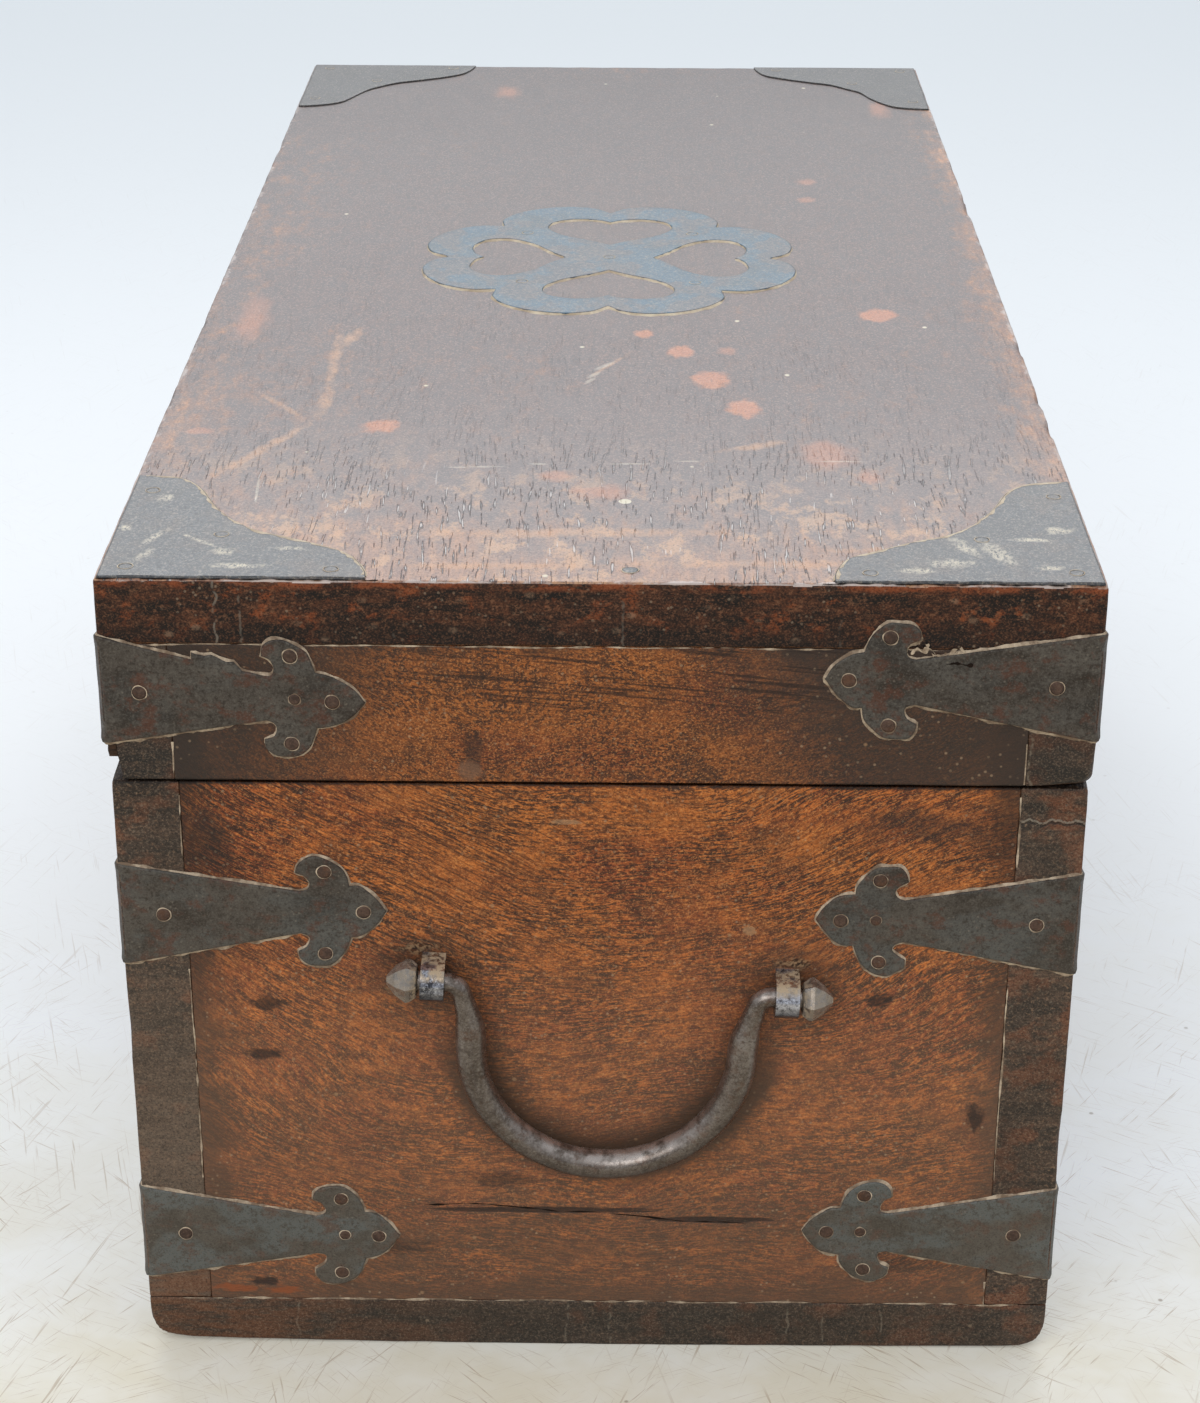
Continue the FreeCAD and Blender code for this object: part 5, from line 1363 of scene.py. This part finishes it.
crack_path = [(NEAR, 40.0, 39.2), (NEAR, 30, 39.6), (NEAR, 22.4, 38.9), (NEAR, 14, 38.3), (NEAR, 8.7, 37.4),
              (NEAR, 1, 37.6), (NEAR, -5.1, 36.9), (NEAR, -12, 36.2), (NEAR, -18.9, 35.4), (NEAR, -28, 35.0),
              (NEAR, -37.3, 34.3)]
fine_path = []
for here, there in zip(crack_path, crack_path[1:]):
    fine_path += line(here, there)[:-1]
cracks_and_shadows["chest"].add(*ribbon(fine_path, UPRIGHT, 0.19, 5.0, rag=1.2))
new_piece("panel_crack", cracks_and_shadows["chest"].points, cracks_and_shadows["chest"].faces, CRACK_AND_SHADOW, "chest")
# Painted shadow: a thin dark ragged strip on the top along the front edge of each near corner plate.
for side in (-1, 1):
    place, height = 0.5 - LID_HALF_LENGTH, LID_TOP + 0.04
    edge = line((place, side * 104.6, height), (place, side * 46, height), 0.6)
    cracks_and_shadows["lid"].add(*ribbon(edge, Vector((1, 0, 0)), 0.42, 90.0 + side, rag=1.2))
new_piece("lid_slot_and_shadows", cracks_and_shadows["lid"].points, cracks_and_shadows["lid"].faces, CRACK_AND_SHADOW, "lid")


# ---------------------------------------------------------------- finishes of the kept CAD nodes

FINISHES = {
    PEG: ("body_corner_pegs", "bottom_pegs", "lid_corner_pegs", "top_pegs"),
    STRIP: ("left_staples", "right_staples"),
    HINGE: ("body_hinge_leaves", "lid_hinge_leaves", "hinge_pin_left", "hinge_pin_right", "lock_eye_left",
            "lock_eye_right", "lock_tongue"),
}
for material, names in FINISHES.items():
    for name in names:
        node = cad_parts[name]
        node.data.materials.clear()
        node.data.materials.append(material)


# ---------------------------------------------------------------- floor, light, camera

SURROUND = (193, 197, 200)


def floor_material():
    """Pale worn board with fine brown scratches, seen a little brighter by the camera than it is lit."""
    g = Graph("floor_pale")
    cloud = g.noise((200, 200, 10), 5.0, 0.65)
    near = g.step(g.x, -150, -300)
    share = g.step(cloud, 0.36, 0.66) + g.step(g.x, -150, 50)
    g.tone = g.mix(g.math("MINIMUM", share, 1.0), srgb(228, 228, 224), srgb(231, 233, 235))
    stain = (near * 0.7 + 0.3) * g.step(g.noise((80, 100, 9), 5.0, 0.7), 0.38, 0.62)
    g.paint(stain * g.step(g.x, 80, -260, 0.0, 0.8), 206, 198, 176)
    g.paint(near * 0.5, 216, 204, 176)
    lines = None
    for lean, size in ((0.85, 26), (-0.75, 22), (0.25, 34), (2.6, 50), (-2.2, 30), (-0.3, 28), (1.5, 36)):
        turned = g.join(g.x + g.y * lean, g.y - g.x * lean, 0.0)
        line = g.step(g.noise((size, 0.9, 9), 3.0, 0.6, turned), 0.62, 0.69)
        line = line * g.step(g.noise((40, 40, 9), 3.0), 0.46, 0.62)
        lines = line if lines is None else lines | line
    lines = lines * g.step(g.x, 120, -260, 0.15, 0.9)
    g.paint(lines * 0.55, 150, 122, 92)
    specks = g.step(g.cells((16, 16, 9)), 0.05, 0.02) * g.step(g.x, 100, -250, 0.2, 1.0)
    g.paint(specks * 0.6, 120, 98, 76)
    far = g.step(g.x, 60, 1500)
    g.paint(far, *SURROUND)
    # Beyond the photographed floor it runs out into the tone of the surroundings, without a horizon.
    distance = g.length(g.join(g.x, g.y, 0.0))
    distant = g.step(distance, 1600, 4500)
    g.paint(distant, *SURROUND)
    g.finish(0.75, None, specular=0.2)
    seen = g.tree.nodes.new("ShaderNodeLightPath").outputs["Is Camera Ray"]
    g.plug(g.shader.inputs["Emission Color"], g.tone)
    lift = g.step(g.x, -400, 900, 0.26, 0.0) * g.step(distance, 1600, 4500, 1.0, 0.0)
    lift = distant * 0.52 + lift
    g.plug(g.shader.inputs["Emission Strength"], seen * lift)
    return g.material


floor_mesh = bpy.data.meshes.new("pale_floor")
floor_mesh.from_pydata([(-30, -30, 0), (30, -30, 0), (30, 30, 0), (-30, 30, 0)], [], [(0, 1, 2, 3)])
floor = bpy.data.objects.new("pale_floor", floor_mesh)
bpy.context.scene.collection.objects.link(floor)
floor_mesh.materials.append(floor_material())

scene = bpy.context.scene
scene.view_settings.view_transform = "Standard"

world = bpy.data.worlds.new("soft_surround")
world.use_nodes = True
scene.world = world
surround = world.node_tree.nodes["Background"]
surround.inputs[0].default_value = (0.90, 0.95, 1.0, 1)
surround.inputs[1].default_value = 0.74


def soft_light(name, place, target, width, height, radiance, colour):
    """A large soft panel of a given brightness that faces a target."""
    data = bpy.data.lights.new(name, "AREA")
    data.shape = "RECTANGLE"
    data.size = width
    data.size_y = height
    data.energy = radiance * width * height * math.pi
    data.color = colour
    lamp = bpy.data.objects.new(name, data)
    scene.collection.objects.link(lamp)
    lamp.location = place
    lamp.rotation_euler = (Vector(target) - Vector(place)).to_track_quat("-Z", "Y").to_euler()
    lamp.visible_camera = False


soft_light("back_panel", (2.5, 0.0, 1.95), (-0.1, 0, 0.15), 3.2, 1.7, 3.3, (0.96, 0.98, 1.0))
soft_light("front_panel", (-2.0, 0.9, 1.7), (-0.1, 0, 0.1), 1.6, 1.4, 2.0, (1.0, 0.98, 0.95))

# The lens and the place that the photo's perspective solves to.
camera_data = bpy.data.cameras.new("camera")
camera_data.sensor_fit = "VERTICAL"
camera_data.sensor_height = 36.0
camera_data.lens = 75.41
camera = bpy.data.objects.new("camera", camera_data)
scene.collection.objects.link(camera)
camera.location = (-0.79306, -0.00534, 0.42995)
camera.rotation_euler = Euler((math.radians(64.882), math.radians(-0.198), math.radians(0.6326 - 90)))
scene.camera = camera
